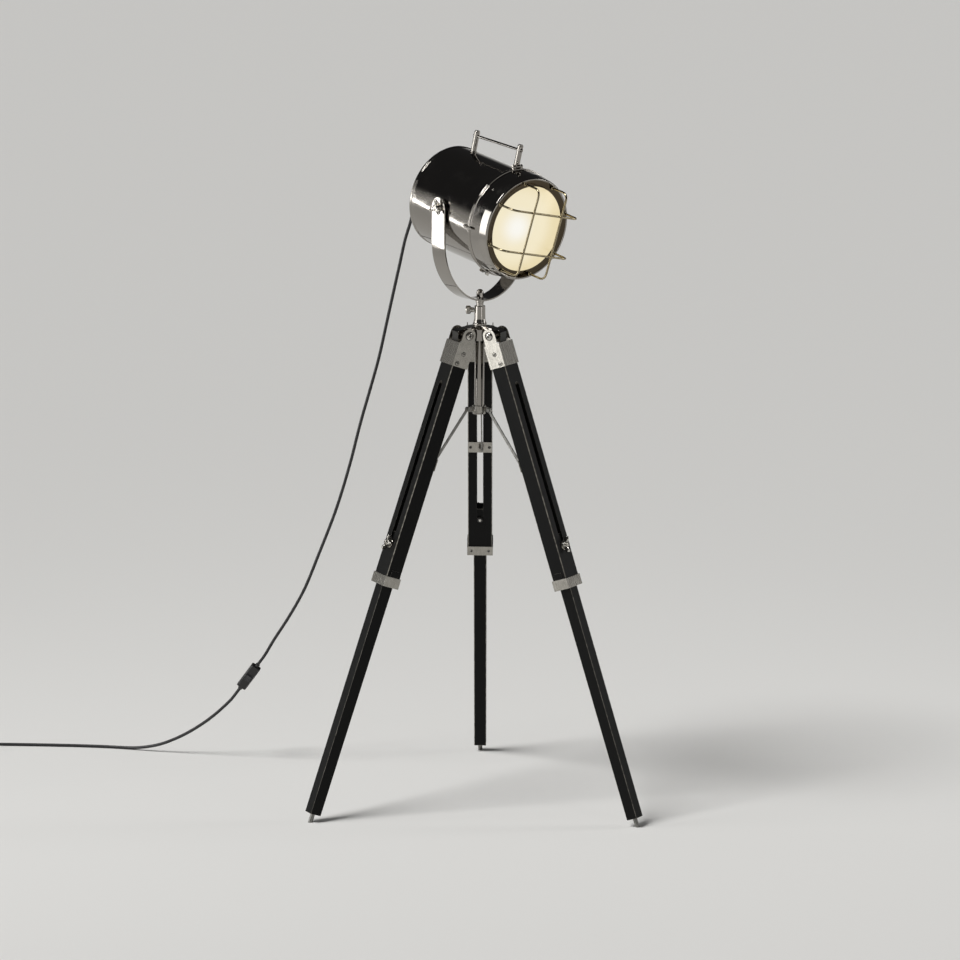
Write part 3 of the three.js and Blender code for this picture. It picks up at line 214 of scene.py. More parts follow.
@dataclass(frozen=True)
class BrushedNickel(Finish):
    """Nickel plate over brushed sheet: fine lines along the piece's z axis, small stains, soft gloss."""

    colour: str = "#A29F98"
    stain: str = "#7D7971"
    # Real brush lines are about 0.1 mm apart, too fine to show, so they are drawn coarser
    line_mm: float = 0.7
    line_share: float = 0.02
    line_depth_mm: float = 0.05
    stain_mm: float = 14
    gloss: tuple[float, float] = (0.24, 0.42)

    def dress(self, tree: bpy.types.NodeTree, shader: bpy.types.Node) -> None:
        """Fills in the nodes.

        Args:
            tree: the material's node tree.
            shader: its Principled BSDF.
        """
        lines = add_node(tree, "ShaderNodeTexNoise", {
            "Vector": self.place(tree, (1, 1, self.line_share)), "Scale": scale_of(self.line_mm), "Detail": 3,
        })
        stains = add_node(tree, "ShaderNodeTexNoise", {
            "Vector": self.place(tree), "Scale": scale_of(self.stain_mm), "Detail": 6, "Roughness": 0.7,
        })
        share = add_node(tree, "ShaderNodeMapRange", {
            "Value": stains.outputs["Fac"], **noise_to(0, 1, start=0.45, end=0.7),
        })
        colour = add_node(tree, "ShaderNodeMix", {
            SHARE: share.outputs[0], FIRST: linear(self.colour), SECOND: linear(self.stain),
        }, data_type="RGBA")
        rough = add_node(tree, "ShaderNodeMapRange", {"Value": lines.outputs["Fac"], **noise_to(*self.gloss)})
        bump = add_node(tree, "ShaderNodeBump", {
            "Height": lines.outputs["Fac"], "Strength": 0.2, "Distance": self.line_depth_mm * MM,
        })
        shader.inputs["Metallic"].default_value = 1
        tree.links.new(colour.outputs[MIXED], shader.inputs["Base Color"])
        tree.links.new(rough.outputs[0], shader.inputs["Roughness"])
        tree.links.new(bump.outputs[0], shader.inputs["Normal"])


@dataclass(frozen=True)
class LacqueredBeech(Finish):
    """Beech under thin black lacquer: a low grain along the leg, satin gloss, and a painted highlight that
    makes the edges lighter in patches.
    """

    colour: str = "#0B0B0A"
    pore: str = "#030303"
    # Pale colour painted on the bevelled edges as a highlight
    edge_highlight: str = "#8F8B82"
    # Pores of beech are about 0.1 mm wide, too fine to show, so the grain is drawn coarser
    grain_mm: float = 1.4
    grain_share: float = 0.03
    grain_depth_mm: float = 0.15
    highlight_patch_mm: float = 9
    gloss: tuple[float, float] = (0.3, 0.5)
    sheen: float = 0.13

    def dress(self, tree: bpy.types.NodeTree, shader: bpy.types.Node) -> None:
        """Fills in the nodes.

        Args:
            tree: the material's node tree.
            shader: its Principled BSDF.
        """
        grain = add_node(tree, "ShaderNodeTexNoise", {
            "Vector": self.place(tree, (1, 1, self.grain_share)), "Scale": scale_of(self.grain_mm),
            "Detail": 5, "Roughness": 0.65,
        })
        lacquer = add_node(tree, "ShaderNodeMix", {
            SHARE: grain.outputs["Fac"], FIRST: linear(self.pore), SECOND: linear(self.colour),
        }, data_type="RGBA")
        # Painted highlight on the edges: the pale colour, in patches, on the faces marked as bevels
        highlight_noise = add_node(tree, "ShaderNodeTexNoise", {
            "Vector": self.place(tree), "Scale": scale_of(self.highlight_patch_mm), "Detail": 5,
        })
        patchy = add_node(tree, "ShaderNodeMapRange", {
            "Value": highlight_noise.outputs["Fac"], **noise_to(0.25, 0.9, start=0.35, end=0.65),
        })
        edge_mask = add_node(tree, "ShaderNodeAttribute", attribute_name="edge_highlight_mask").outputs["Fac"]
        amount = add_node(tree, "ShaderNodeMath", {0: edge_mask, 1: patchy.outputs[0]}, operation="MULTIPLY")
        colour = add_node(tree, "ShaderNodeMix", {
            SHARE: amount.outputs[0], FIRST: lacquer.outputs[MIXED], SECOND: linear(self.edge_highlight),
        }, data_type="RGBA")
        rough = add_node(tree, "ShaderNodeMapRange", {"Value": grain.outputs["Fac"], **noise_to(*self.gloss)})
        bump = add_node(tree, "ShaderNodeBump", {
            "Height": grain.outputs["Fac"], "Strength": 0.35, "Distance": self.grain_depth_mm * MM,
        })
        shader.inputs["Specular IOR Level"].default_value = self.sheen
        tree.links.new(colour.outputs[MIXED], shader.inputs["Base Color"])
        tree.links.new(rough.outputs[0], shader.inputs["Roughness"])
        tree.links.new(bump.outputs[0], shader.inputs["Normal"])


@dataclass(frozen=True)
class OpalGlass(Finish):
    """Frosted glass painted as lit from behind: an emitted warm white glow, with a painted bright spot before
    the bulb and painted shade deeper at the rim.
    """

    glow: str = "#F7ECCC"
    rim: str = "#ECDCB0"
    spot: str = "#FFFDF6"
    body: str = "#2E2B24"
    # Where the painted bright spot sits and how wide it is, and where the painted shade of the rim is full
    spot_at_mm: tuple[float, float, float] = (38, 170, 10)
    spot_mm: float = 56
    rim_mm: float = 122.5
    strength: float = 0.92

    def dress(self, tree: bpy.types.NodeTree, shader: bpy.types.Node) -> None:
        """Fills in the nodes.

        Args:
            tree: the material's node tree.
            shader: its Principled BSDF.
        """
        centre = tuple(value * MM for value in self.spot_at_mm)
        away = add_node(tree, "ShaderNodeVectorMath", {
            0: self.place(tree), 1: centre,
        }, operation="DISTANCE").outputs["Value"]
        wide, tight = (
            add_node(tree, "ShaderNodeMapRange", {
                "Value": away, "From Min": start * MM, "From Max": end * MM,
            }, interpolation_type="SMOOTHERSTEP")
            for start, end in ((self.spot_mm, self.rim_mm), (0, self.spot_mm))
        )
        outer = add_node(tree, "ShaderNodeMix", {
            SHARE: wide.outputs[0], FIRST: linear(self.glow), SECOND: linear(self.rim),
        }, data_type="RGBA")
        light = add_node(tree, "ShaderNodeMix", {
            SHARE: tight.outputs[0], FIRST: linear(self.spot), SECOND: outer.outputs[MIXED],
        }, data_type="RGBA")
        shader.inputs["Base Color"].default_value = linear(self.body)
        shader.inputs["Roughness"].default_value = 0.35
        shader.inputs["Coat Weight"].default_value = 0.2
        shader.inputs["Coat Roughness"].default_value = 0.2
        shader.inputs["Emission Strength"].default_value = self.strength
        tree.links.new(light.outputs[MIXED], shader.inputs["Emission Color"])


@dataclass(frozen=True)
class Moulded(Finish):
    """A moulded, sheathed or glazed surface of one colour with a fine skin."""

    colour: str = "#151516"
    # A real mould leaves a skin of about 0.1 mm, too fine to show, so it is drawn coarser
    skin_mm: float = 0.8
    skin_depth_mm: float = 0.03
    gloss: tuple[float, float] = (0.38, 0.52)

    def dress(self, tree: bpy.types.NodeTree, shader: bpy.types.Node) -> None:
        """Fills in the nodes.

        Args:
            tree: the material's node tree.
            shader: its Principled BSDF.
        """
        skin = add_node(tree, "ShaderNodeTexNoise", {
            "Vector": self.place(tree), "Scale": scale_of(self.skin_mm), "Detail": 3,
        })
        rough = add_node(tree, "ShaderNodeMapRange", {"Value": skin.outputs["Fac"], **noise_to(*self.gloss)})
        bump = add_node(tree, "ShaderNodeBump", {
            "Height": skin.outputs["Fac"], "Strength": 0.4, "Distance": self.skin_depth_mm * MM,
        })
        shader.inputs["Base Color"].default_value = linear(self.colour)
        tree.links.new(rough.outputs[0], shader.inputs["Roughness"])
        tree.links.new(bump.outputs[0], shader.inputs["Normal"])


# Nickel plate, buffed, its colour darkened as painted shade: a deep mirror on head, yoke, crown and post
MIRROR = PolishedNickel("polished_nickel", "mirror_nickel")
# The same plate on drawn wire, with a painted warm reflection of the lens and painted shade: brassy, darker
# and a little duller
WIRE = PolishedNickel("polished_nickel_wire", "mirror_nickel", colour="#958A70", gloss=(0.08, 0.2))
# The same plate inside the bezel, painted dark bronze as the lip's painted shade
LIP_SHADE = PolishedNickel("polished_nickel_lip", "mirror_nickel", colour="#51483A", gloss=(0.06, 0.18))
# Nickel plate over brushed steel sheet: satin grey with fine lines
PLATE = BrushedNickel("brushed_nickel_plate", "satin_nickel", stain="#918E87", gloss=(0.2, 0.32))
# Nickel plate on turned screws and nuts: brighter, with no direction
BOLT = BrushedNickel("nickel_bolts", "satin_nickel", colour="#C9C6BF", line_share=1, gloss=(0.12, 0.26))
# Bright drawn steel: darker and duller than the plated sheet
STEEL = BrushedNickel("drawn_steel", "steel", colour="#8C8B87", stain="#6B6A66", gloss=(0.28, 0.42))
# Beech, lacquered black: near black, with a pale painted highlight on the edges
WOOD = LacqueredBeech("black_lacquered_beech", "black_wood")
# Frosted glass with the bulb on, as painted light: a cream glow in emission, with a painted bright spot
GLASS = OpalGlass("opal_glass", "frosted_glass")
# Opal bulb glass: smooth warm white
BULB = Moulded("bulb_opal", "bulb_glass", colour="#F2EAD6", gloss=(0.1, 0.16))
# Glazed porcelain: cream with a wet gloss
PORCELAIN = Moulded("glazed_porcelain", "white_ceramic", colour="#E4DFD2", gloss=(0.12, 0.2))
# Spun aluminium: pale, with soft reflections
DISH = BrushedNickel(
    "spun_aluminium", "reflector_metal", colour="#D8D8D4", stain="#BEBEB9", gloss=(0.12, 0.25),
)
# Extruded PVC: satin black
SHEATH = Moulded("pvc_cord_sheath", "black_rubber", colour="#111112", skin_mm=1.2)
# Moulded rubber: matt black
RUBBER = Moulded("rubber_gland", "black_rubber", colour="#161617", gloss=(0.5, 0.62))
# Moulded ABS: smooth black
ABS = Moulded("black_moulded_abs", "black_plastic", colour="#131314", skin_mm=0.6, gloss=(0.26, 0.4))
# The same in dark grey, with more gloss
ROCKER = Moulded("grey_moulded_abs", "grey_plastic", colour="#2C2C2F", gloss=(0.22, 0.34))
# Near black: painted shade of plated hollows that see no light, in screw slots, under screw heads and at the
# crown's arm ends; the band and plate screws take it all over
RECESS = Moulded("screw_recess", "satin_nickel", colour="#17150F", gloss=(0.5, 0.6))


def rounded(
    outline: Sequence[Point], radius: float, closed: bool = True, steps: int = 4,
) -> list[tuple[float, float]]:
    """Rounds the corners of an outline with short arcs.

    Args:
        outline: the corner points.
        radius: the wished radius, less where a side is short.
        closed: whether the last point joins the first.
        steps: sides to an arc.

    Returns:
        The rounded outline.
    """
    points = [Vector(p).to_2d() for p in outline]
    result: list[tuple[float, float]] = []
    for i, corner in enumerate(points):
        if not closed and i in (0, len(points) - 1):
            result.append(tuple(corner))
            continue
        back = points[i - 1] - corner
        ahead = points[(i + 1) % len(points)] - corner
        if min(back.length, ahead.length) < 1e-6:
            continue
        half = back.angle(ahead) / 2
        reach = min(radius / max(math.tan(half), 1e-6), 0.45 * min(back.length, ahead.length))
        if math.pi / 2 - half < math.radians(3):
            result.append(tuple(corner))
            continue
        start = corner + back.normalized() * reach
        end = corner + ahead.normalized() * reach
        for step in range(steps + 1):
            t = step / steps
            result.append(tuple(start * (1 - t) ** 2 + corner * (2 * t * (1 - t)) + end * t ** 2))
    return result


def arc(x: float, y: float, radius: float, start: float, end: float, steps: int) -> list[tuple[float, float]]:
    """Returns points on an arc, with its angles in degrees."""
    angles = [math.radians(start + (end - start) * i / steps) for i in range(steps + 1)]
    return [(x + radius * math.cos(a), y + radius * math.sin(a)) for a in angles]


def bevelled(
    part: bmesh.types.BMesh, width: float, segments: int = 2, limit: float = 32,
) -> bmesh.types.BMesh:
    """Bevels a part's sharp edges.

    Args:
        part: the part.
        width: the bevel's width in millimetres.
        segments: faces across it.
        limit: least angle, in degrees, of an edge that is bevelled.

    Returns:
        The same part.
    """
    edges = [e for e in part.edges if len(e.link_faces) == 2 and e.calc_face_angle(0) > math.radians(limit)]
    bmesh.ops.bevel(
        part, geom=edges, offset=width, offset_type="OFFSET", segments=segments, profile=0.5,
        affect="EDGES", clamp_overlap=True, material=-1,
    )
    return part


def turned(profile: Sequence[Point], steps: int = 96, closed: bool = False) -> bmesh.types.BMesh:
    """Spins a profile of (radius, place) points about the y axis.

    Args:
        profile: the points, with both ends on the axis, or a loop.
        steps: faces round the axis.
        closed: whether the last point joins the first.

    Returns:
        The turned part.
    """
    part = bmesh.new()
    verts = [part.verts.new((radius, place, 0)) for radius, place in profile]
    pairs = list(zip(verts, verts[1:])) + ([(verts[-1], verts[0])] if closed else [])
    edges = [part.edges.new(pair) for pair in pairs]
    bmesh.ops.spin(
        part, geom=verts + edges, cent=(0, 0, 0), axis=(0, 1, 0), dvec=(0, 0, 0), angle=2 * math.pi,
        space=Matrix(), steps=steps, use_merge=True, use_normal_flip=False, use_duplicate=False,
    )
    bmesh.ops.remove_doubles(part, verts=part.verts, dist=1e-3)
    bmesh.ops.dissolve_degenerate(part, edges=part.edges, dist=1e-4)
    bmesh.ops.recalc_face_normals(part, faces=part.faces)
    return part


def rod(radius: float, start: float, end: float, edge: float = 0, steps: int = 32) -> bmesh.types.BMesh:
    """Makes a round bar along y with rounded end edges.

    Args:
        radius: its radius.
        start: place of its first end.
        end: place of its second end.
        edge: radius of its end edges.
        steps: faces round it.

    Returns:
        The bar.
    """
    profile = [(0, start), (radius, start), (radius, end), (0, end)]
    if edge:
        profile = rounded(profile, edge, closed=False, steps=3)
    return turned(profile, steps)


def block(low: Point, high: Point, edge: float = 0) -> bmesh.types.BMesh:
    """Makes a box with rounded edges.

    Args:
        low: its low corner.
        high: its high corner.
        edge: radius of its edges.

    Returns:
        The box.
    """
    part = bmesh.new()
    size = Vector(high) - Vector(low)
    middle = (Vector(high) + Vector(low)) / 2
    bmesh.ops.create_cube(part, size=1, matrix=Matrix.Translation(middle) @ Matrix.Diagonal((*size, 1)))
    return bevelled(part, edge, 3) if edge else part


def slab(outline: Sequence[Point], depth: float, edge: float = 0, segments: int = 2) -> bmesh.types.BMesh:
    """Extrudes an outline in x and y along z, centred on z 0.

    Args:
        outline: the closed outline.
        depth: thickness along z.
        edge: width of the bevel round both faces.
        segments: faces across the bevel.

    Returns:
        The slab.
    """
    part = bmesh.new()
    face = part.faces.new([part.verts.new((x, y, -depth / 2)) for x, y in outline])
    grown = bmesh.ops.extrude_face_region(part, geom=[face])
    moved = [item for item in grown["geom"] if isinstance(item, bmesh.types.BMVert)]
    bmesh.ops.translate(part, vec=(0, 0, depth), verts=moved)
    bmesh.ops.recalc_face_normals(part, faces=part.faces)
    return bevelled(part, edge, segments, 60) if edge else part


def swept(profile: Sequence[Point], steps: Sequence[Matrix]) -> bmesh.types.BMesh:
    """Extrudes a closed profile in x and y through a row of places and closes both ends.

    Args:
        profile: the section's outline.
        steps: the place of each section.

    Returns:
        The swept part.
    """
    part = bmesh.new()
    verts = [part.verts.new(steps[0] @ Vector((x, y, 0))) for x, y in profile]
    edges = [part.edges.new(pair) for pair in zip(verts, verts[1:] + verts[:1])]
    part.faces.new(verts)
    for last, place in zip(steps, steps[1:]):
        grown = bmesh.ops.extrude_edge_only(part, edges=edges)["geom"]
        moved = [item for item in grown if isinstance(item, bmesh.types.BMVert)]
        edges = [item for item in grown if isinstance(item, bmesh.types.BMEdge)]
        bmesh.ops.transform(part, matrix=place @ last.inverted(), verts=moved)
    bmesh.ops.contextual_create(part, geom=edges)
    bmesh.ops.recalc_face_normals(part, faces=part.faces)
    return part


def along(points: Sequence[Vector]) -> list[Matrix]:
    """Returns a section's place at each point of a path, turned as little as the path allows.

    Args:
        points: the path.

    Returns:
        Places whose z axis runs along the path.
    """
    places = []
    turn: Quaternion | None = None
    for i, point in enumerate(points):
        way = (points[min(i + 1, len(points) - 1)] - points[max(i - 1, 0)]).normalized()
        if turn is None:
            turn = way.to_track_quat("Z", "Y")
        else:
            turn = (turn @ Vector((0, 0, 1))).rotation_difference(way) @ turn
        places.append(Matrix.Translation(point) @ turn.to_matrix().to_4x4())
    return places


def circle(radius: float, sides: int) -> list[tuple[float, float]]:
    """Returns the corners of a round section."""
    return arc(0, 0, radius, 0, 360 * (sides - 1) / sides, sides - 1)


def round_x(degrees: float) -> Matrix:
    """Returns a turn about x."""
    return Matrix.Rotation(math.radians(degrees), 4, "X")


def round_y(degrees: float) -> Matrix:
    """Returns a turn about y."""
    return Matrix.Rotation(math.radians(degrees), 4, "Y")


def round_z(degrees: float) -> Matrix:
    """Returns a turn about z."""
    return Matrix.Rotation(math.radians(degrees), 4, "Z")


def shift(x: float = 0, y: float = 0, z: float = 0) -> Matrix:
    """Returns a move."""
    return Matrix.Translation((x, y, z))


ALONG_X = round_z(-90)
ALONG_Z = round_x(90)


class Shape:
    """A piece in the making: parts in millimetres in the piece's own frame.

    Attributes:
        weld: distance below which corners of a CAD node are merged, in millimetres.
        flat: angle below which two of its faces count as one, in degrees.
        square: a face is taken as a bevel, which gets the painted edge highlight, where no part of its normal
            reaches this.
    """

    weld = 0.01
    flat = 0.6
    square = 0.97

    def __init__(self, place: Matrix) -> None:
        """Starts a piece in this frame, which is in metres."""
        self.place = place @ Matrix.Scale(MM, 4)
        self.parts = bmesh.new()

    def add(self, part: bmesh.types.BMesh, *moves: Matrix, material: int = 0) -> Shape:
        """Adds a part.

        Args:
            part: the part, which is used up.
            moves: turns and moves, the last one first, in millimetres.
            material: number of the finish that it takes.

        Returns:
            The piece.
        """
        for move in reversed(moves):
            bmesh.ops.transform(part, matrix=move, verts=part.verts)
        if material:
            for face in part.faces:
                face.material_index = material
        bmesh.ops.recalc_face_normals(part, faces=part.faces)
        mesh = bpy.data.meshes.new("part")
        part.to_mesh(mesh)
        part.free()
        self.parts.from_mesh(mesh)
        bpy.data.meshes.remove(mesh)
        return self

    def copy_of(self, node: str, edge: float, segments: int = 2, limit: float = 32) -> Shape:
        """Adds a copy of a CAD node with merged corners and bevelled edges.

        Args:
            node: the node's name.
            edge: the bevel's width.
            segments: faces across the bevel.
            limit: least angle of an edge that is bevelled, in degrees.

        Returns:
            The piece.
        """
        part = bmesh.new()
        part.from_mesh(frame["nodes"][node].data)
        bmesh.ops.transform(part, matrix=self.place.inverted(), verts=part.verts)
        bmesh.ops.remove_doubles(part, verts=part.verts, dist=self.weld)
        bmesh.ops.dissolve_limit(
            part, angle_limit=math.radians(self.flat), use_dissolve_boundaries=False,
            verts=part.verts, edges=part.edges, delimit=set(),
        )
        for face in part.faces:
            face.material_index = 0
        return self.add(bevelled(part, edge, segments, limit))

    def mark_highlight_edges(self) -> Shape:
        """Marks the faces that slope between the piece's own axes, such as bevels, for the painted edge
        highlight.

        Returns:
            The piece.
        """
        layer = self.parts.faces.layers.float.new("edge_highlight_mask")
        self.parts.normal_update()
        for face in self.parts.faces:
            face[layer] = float(max(abs(value) for value in face.normal) < self.square)
        return self

    def show(
        self, name: str, body: str | None, *finishes: Finish, stands_for: Iterable[str] = (),
        smooth: float = 38,
    ) -> bpy.types.Object:
        """Makes the piece an object of the scene.

        Args:
            name: the object's name.
            body: the CAD body that it rides on, or None.
            finishes: its finishes, the first one the main one.
            stands_for: the CAD nodes that it replaces.
            smooth: greatest angle that is shaded smooth, in degrees.

        Returns:
            The object.
        """
        layer = self.parts.verts.layers.float_vector.new("place")
        for vert in self.parts.verts:
            vert[layer] = vert.co * MM
        bmesh.ops.transform(self.parts, matrix=self.place, verts=self.parts.verts)
        mesh = bpy.data.meshes.new(name)
        self.parts.to_mesh(mesh)
        self.parts.free()
        mesh.shade_smooth()
        mesh.set_sharp_from_angle(angle=math.radians(smooth))
        for finish in finishes:
            mesh.materials.append(finish.material())
        piece = bpy.data.objects.new(name, mesh)
        bpy.context.scene.collection.objects.link(piece)
        # Keeps flat faces flat beside their small rounded edges
        flats = piece.modifiers.new("flat_faces", "WEIGHTED_NORMAL")
        flats.keep_sharp = True
        if body:
            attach(piece, body)
        if stands_for:
            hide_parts(*stands_for)
        LOG.info("%s: %d faces", name, len(mesh.polygons))
        return piece


def add_screw(shape: Shape, radius: float, rise: float, *moves: Matrix, head: int = 0) -> None:
    """Adds a domed cross-head screw, made about y with its seat at y 0. The cross, two thin bars just above
    the dome, has the second finish, which paints the slots' shade.

    Args:
        shape: the piece.
        radius: the head's radius.
        rise: its height.
        moves: its place.
        head: which of the piece's finishes the head has.
    """
    dome = turned([
        (0, -rise / 2), (radius, -rise / 2), (radius, rise * 0.35), (radius * 0.82, rise * 0.8),
        (radius * 0.45, rise), (0, rise),
    ], 28)
    shape.add(dome, *moves, material=head)
    # Painted shade of the cross slots: two thin bars just above the dome in the second finish
    reach, half, top = radius * 0.52, radius * 0.13, rise * 1.015
    for x, z in ((reach, half), (half, reach)):
        shape.add(block((-x, 0, -z), (x, top, z)), *moves, material=1)


class Places:
    """Frames of the sub-assemblies, in metres, worked out from the joints."""

    def __init__(self, tilt: float = 8.6, axis_drop: float = 14) -> None:
        """Works out the frames.

        Args:
            tilt: the head's downward tilt at rest, in degrees.
            axis_drop: how far the barrel's axis lies below the tilt axis, in millimetres.
        """
        self.joints = {joint["name"]: joint for joint in frame["joints"]}
        pan = self.point("yoke_pan")
        self.floor = shift(pan.x, pan.y, 0)
        side = self.way("head_tilt")
        forward = Vector((0, 0, 1)).cross(side)
        self.pan = self.frame_of((pan.x, pan.y, 0), side, forward)
        self.head = self.frame_of(self.point("head_tilt"), side, forward) @ round_x(-tilt)
        self.axis = self.head @ shift(z=-axis_drop * MM)

    def point(self, joint: str) -> Vector:
        """Returns a joint's point."""
        return Vector(self.joints[joint]["pos_m"])

    def way(self, joint: str) -> Vector:
        """Returns a joint's axis."""
        return Vector(self.joints[joint]["axis"]).normalized()

    @staticmethod
    def frame_of(origin: Point, x: Vector, y: Vector) -> Matrix:
        """Works out a frame from its origin and two of its axes.

        Args:
            origin: its origin.
            x: its x axis.
            y: its y axis.

        Returns:
            The frame.
        """
        z = x.cross(y).normalized()
        turn = Matrix((x, y, z)).transposed().to_4x4()
        return Matrix.Translation(origin) @ turn

    def leg(self, leg: Leg) -> Matrix:
        """Works out a leg's frame: its hinge at the origin, y out through its outer face, -z down it.

        Args:
            leg: which leg.

        Returns:
            The frame.
        """
        x = -self.way(f"leg_fold_{leg.value}")
        z = self.way(f"lower_slide_{leg.value}")
        return self.frame_of(self.point(f"leg_fold_{leg.value}"), x, z.cross(x))


@dataclass
class HeadShell:
    """Barrel, back cover and cable gland. Places run along y from the tilt axis."""

    radius: float = 112
    wall: float = 2
    back: float = -105
    bead: float = 1.5
    bead_length: float = 5
    flange_radius: float = 120
    flange_back: float = 103.8
    front: float = 107.5
    roll: float = 1.4
    root: float = 1
    boss_radius: float = 13
    boss_in: float = 106.7
    boss_out: float = 114.7
    boss_foot: tuple[float, float] = (3, 5)
    lug_in: float = 121.4
    lug_place: float = 98.5
    lug_bar: float = 3.5
    lug_thickness: float = 2.6
    lug_width: float = 5
    lug_outline: Outline = ((-5, 0), (9, 0), (23, 1.2), (23, 2.6), (6, 3), (-5, 3))
    pad_half: float = 7.5
    pad_length: float = 23.5
    pad_turn: float = -7
    cover_rim: float = 2.2
    cover_rise: float = 18.5
    cover_wall: float = 2
    cover_curve: Outline = ((0.28, 1), (0.62, 0.8), (0.84, 0.4))
    cover_step: tuple[float, float] = (8, 3)
    cover_bend: float = 9
    cover_screw: tuple[float, float] = (3.2, 1.6)
    cover_screw_turns: tuple[float, ...] = (90, 210, 330)
    cover_screw_in: float = 4.2
    skirt: float = 9
    hex_radius: float = 12.5
    hex_length: float = 9
    sleeve: float = 29
    sleeve_end: float = 5.4
    sleeve_root: float = 8.5
    sleeve_plain: float = 3
    ribs: int = 6
    rib_outline: Outline = ((0.1, -0.9), (-0.7, -0.5), (-0.7, 0.5), (0.2, 0.9))
    shank: float = 8
    shank_depth: float = 6
    hinge_radius: float = 4
    hinge_rise: float = 5
    half_knuckle: float = 6
    tongue_half: float = 2.5
    tongue_half_length: float = 4.5
    tongue_eye: float = 3.5
    clip_pivot: float = 95
    clip_rise: float = 9
    clip_turns: tuple[float, float] = (-62, -118)

    def build(self, places: Places) -> None:
        """Builds the barrel, the cover and the gland.

        Args:
            places: the frames.
        """
        self.barrel(places)
        self.cover(places)
        self.gland(places)

    def barrel(self, places: Places) -> None:
        """Builds the drum with its bead, bosses, guide lugs, hinge knuckle and clip tongues.

        Args:
            places: the frames.
        """
        inner = self.radius - self.wall
        root = inner + self.root
        bead_end = self.back + self.bead_length
        drum = rounded([
            (inner, self.back), (self.radius + self.bead, self.back), (self.radius + self.bead, bead_end),
            (self.radius, bead_end + self.bead), (self.radius, self.flange_back - self.bead / 2),
            (self.flange_radius, self.flange_back), (self.flange_radius, self.front), (inner, self.front),
        ], self.roll, steps=5)
        shape = Shape(places.axis).add(turned(drum, 160, closed=True))
        drop = (places.axis.inverted() @ places.head).translation.z / MM
        over, slope = self.boss_foot
        for side in Side:
            boss = turned(rounded([
                (0, self.boss_in), (self.boss_radius + over, self.boss_in),
                (self.boss_radius, self.boss_in + slope), (self.boss_radius, self.boss_out),
                (0, self.boss_out),
            ], 0.8, closed=False), 48)
            turn = round_z(-90 * side.value)
            shape.add(boss, shift(z=drop), turn)
            half = self.lug_bar
            bar = block((-half, root, -half), (half, self.lug_in + self.lug_thickness, half), 0.8)
            shape.add(bar, shift(y=self.lug_place), turn)
            lug = slab(rounded(self.lug_outline, 0.8, steps=3), self.lug_width, 0.6, 2)
            shape.add(
                lug, shift(x=side.value * self.lug_in, y=self.lug_place),
                Matrix.Diagonal((side.value, 1, 1, 1)), round_z(90), Matrix.Diagonal((1, -1, 1, 1)),
            )
        pad = block(
            (-self.pad_half, self.flange_back - self.pad_length, root),
            (self.pad_half, self.flange_back + 1, self.flange_radius), 1.2,
        )
        shape.add(pad, round_y(self.pad_turn))
        half = self.half_knuckle
        rise = self.flange_radius + self.hinge_rise
        knuckle = rod(self.hinge_radius, -half, half, 0.5)
        shape.add(knuckle, shift(y=self.front + TOUCH / 2, z=rise), ALONG_X)
        shape.add(block((-half, self.flange_back, self.flange_radius - 3), (half, self.front, rise), 0.6))
        height = self.radius + self.clip_rise
        half = self.tongue_half
        for turn in self.clip_turns:
            lean = round_y(90 - turn)
            shape.add(block(
                (-half, self.clip_pivot - self.tongue_half_length, root),
                (half, self.clip_pivot + self.tongue_half_length, height), 0.6,
            ), lean)
            eye = rod(self.tongue_eye, -half, half, 0.4, 24)
            shape.add(eye, lean, shift(y=self.clip_pivot, z=height), ALONG_X)
        shape.show("barrel_shell", "head", MIRROR, stands_for=["barrel"])

    def cover(self, places: Places) -> None:
        """Builds the domed back cover with a turned step and three rim screws.

        Args:
            places: the frames.
        """
        rim = self.back - TOUCH
        back = rim - self.cover_rim
        dome = back - self.cover_rise
        r = self.radius
        hole = self.shank + TOUCH
        skirt, skirt_end = r - self.wall - RUN, rim + self.skirt
        sheet = self.cover_wall
        shoulder, fall = self.cover_step
        curve = [(share * r, back - self.cover_rise * rise) for share, rise in self.cover_curve]
        profile = rounded([
            (hole, dome), *curve, (r - shoulder, back - fall), (r, back), (r, rim), (skirt, rim),
            (skirt, skirt_end), (skirt - sheet, skirt_end), (skirt - sheet, rim),
            (r - shoulder - sheet, back - fall + sheet), *((x, y + sheet) for x, y in reversed(curve)),
            (hole, dome + sheet),
        ], self.cover_bend, steps=8)
        shape = Shape(places.axis).add(turned(profile, 160, closed=True))
        for turn in self.cover_screw_turns:
            seat = shift(y=back + 0.2, x=r - self.cover_screw_in)
            add_screw(shape, *self.cover_screw, round_y(turn), seat, round_x(180))
        shape.show("cover_shell", "head", MIRROR, RECESS, stands_for=["back_cover"])

    def gland(self, places: Places) -> None:
        """Builds the gland: a hexagon nut and a ribbed sleeve that tapers to the cord.

        Args:
            places: the frames.
        """
        seat = self.back - TOUCH - self.cover_rim - self.cover_rise - TOUCH
        nut_end = seat - self.hex_length
        end = nut_end - self.sleeve
        shape = Shape(places.axis)
        nut = slab(circle(self.hex_radius, 6), self.hex_length, 0.9, 2)
        shape.add(nut, shift(y=seat - self.hex_length / 2), ALONG_Z)
        sleeve = [(0, end), (self.sleeve_end, end)]
        for i in range(self.ribs):
            share = (i + 0.5) / self.ribs
            radius = self.sleeve_end + (self.sleeve_root - self.sleeve_end) * share
            place = end + (self.sleeve - self.sleeve_plain) * share
            sleeve += [(radius + out, place + step) for out, step in self.rib_outline]
        shank_end = seat + self.shank_depth
        sleeve += [(self.sleeve_root, nut_end), (self.shank, nut_end)]
        sleeve += [(self.shank, shank_end), (0, shank_end)]
        shape.add(turned(sleeve, 40))
        shape.show("gland_sleeve", "head", RUBBER, stands_for=["cable_gland"])


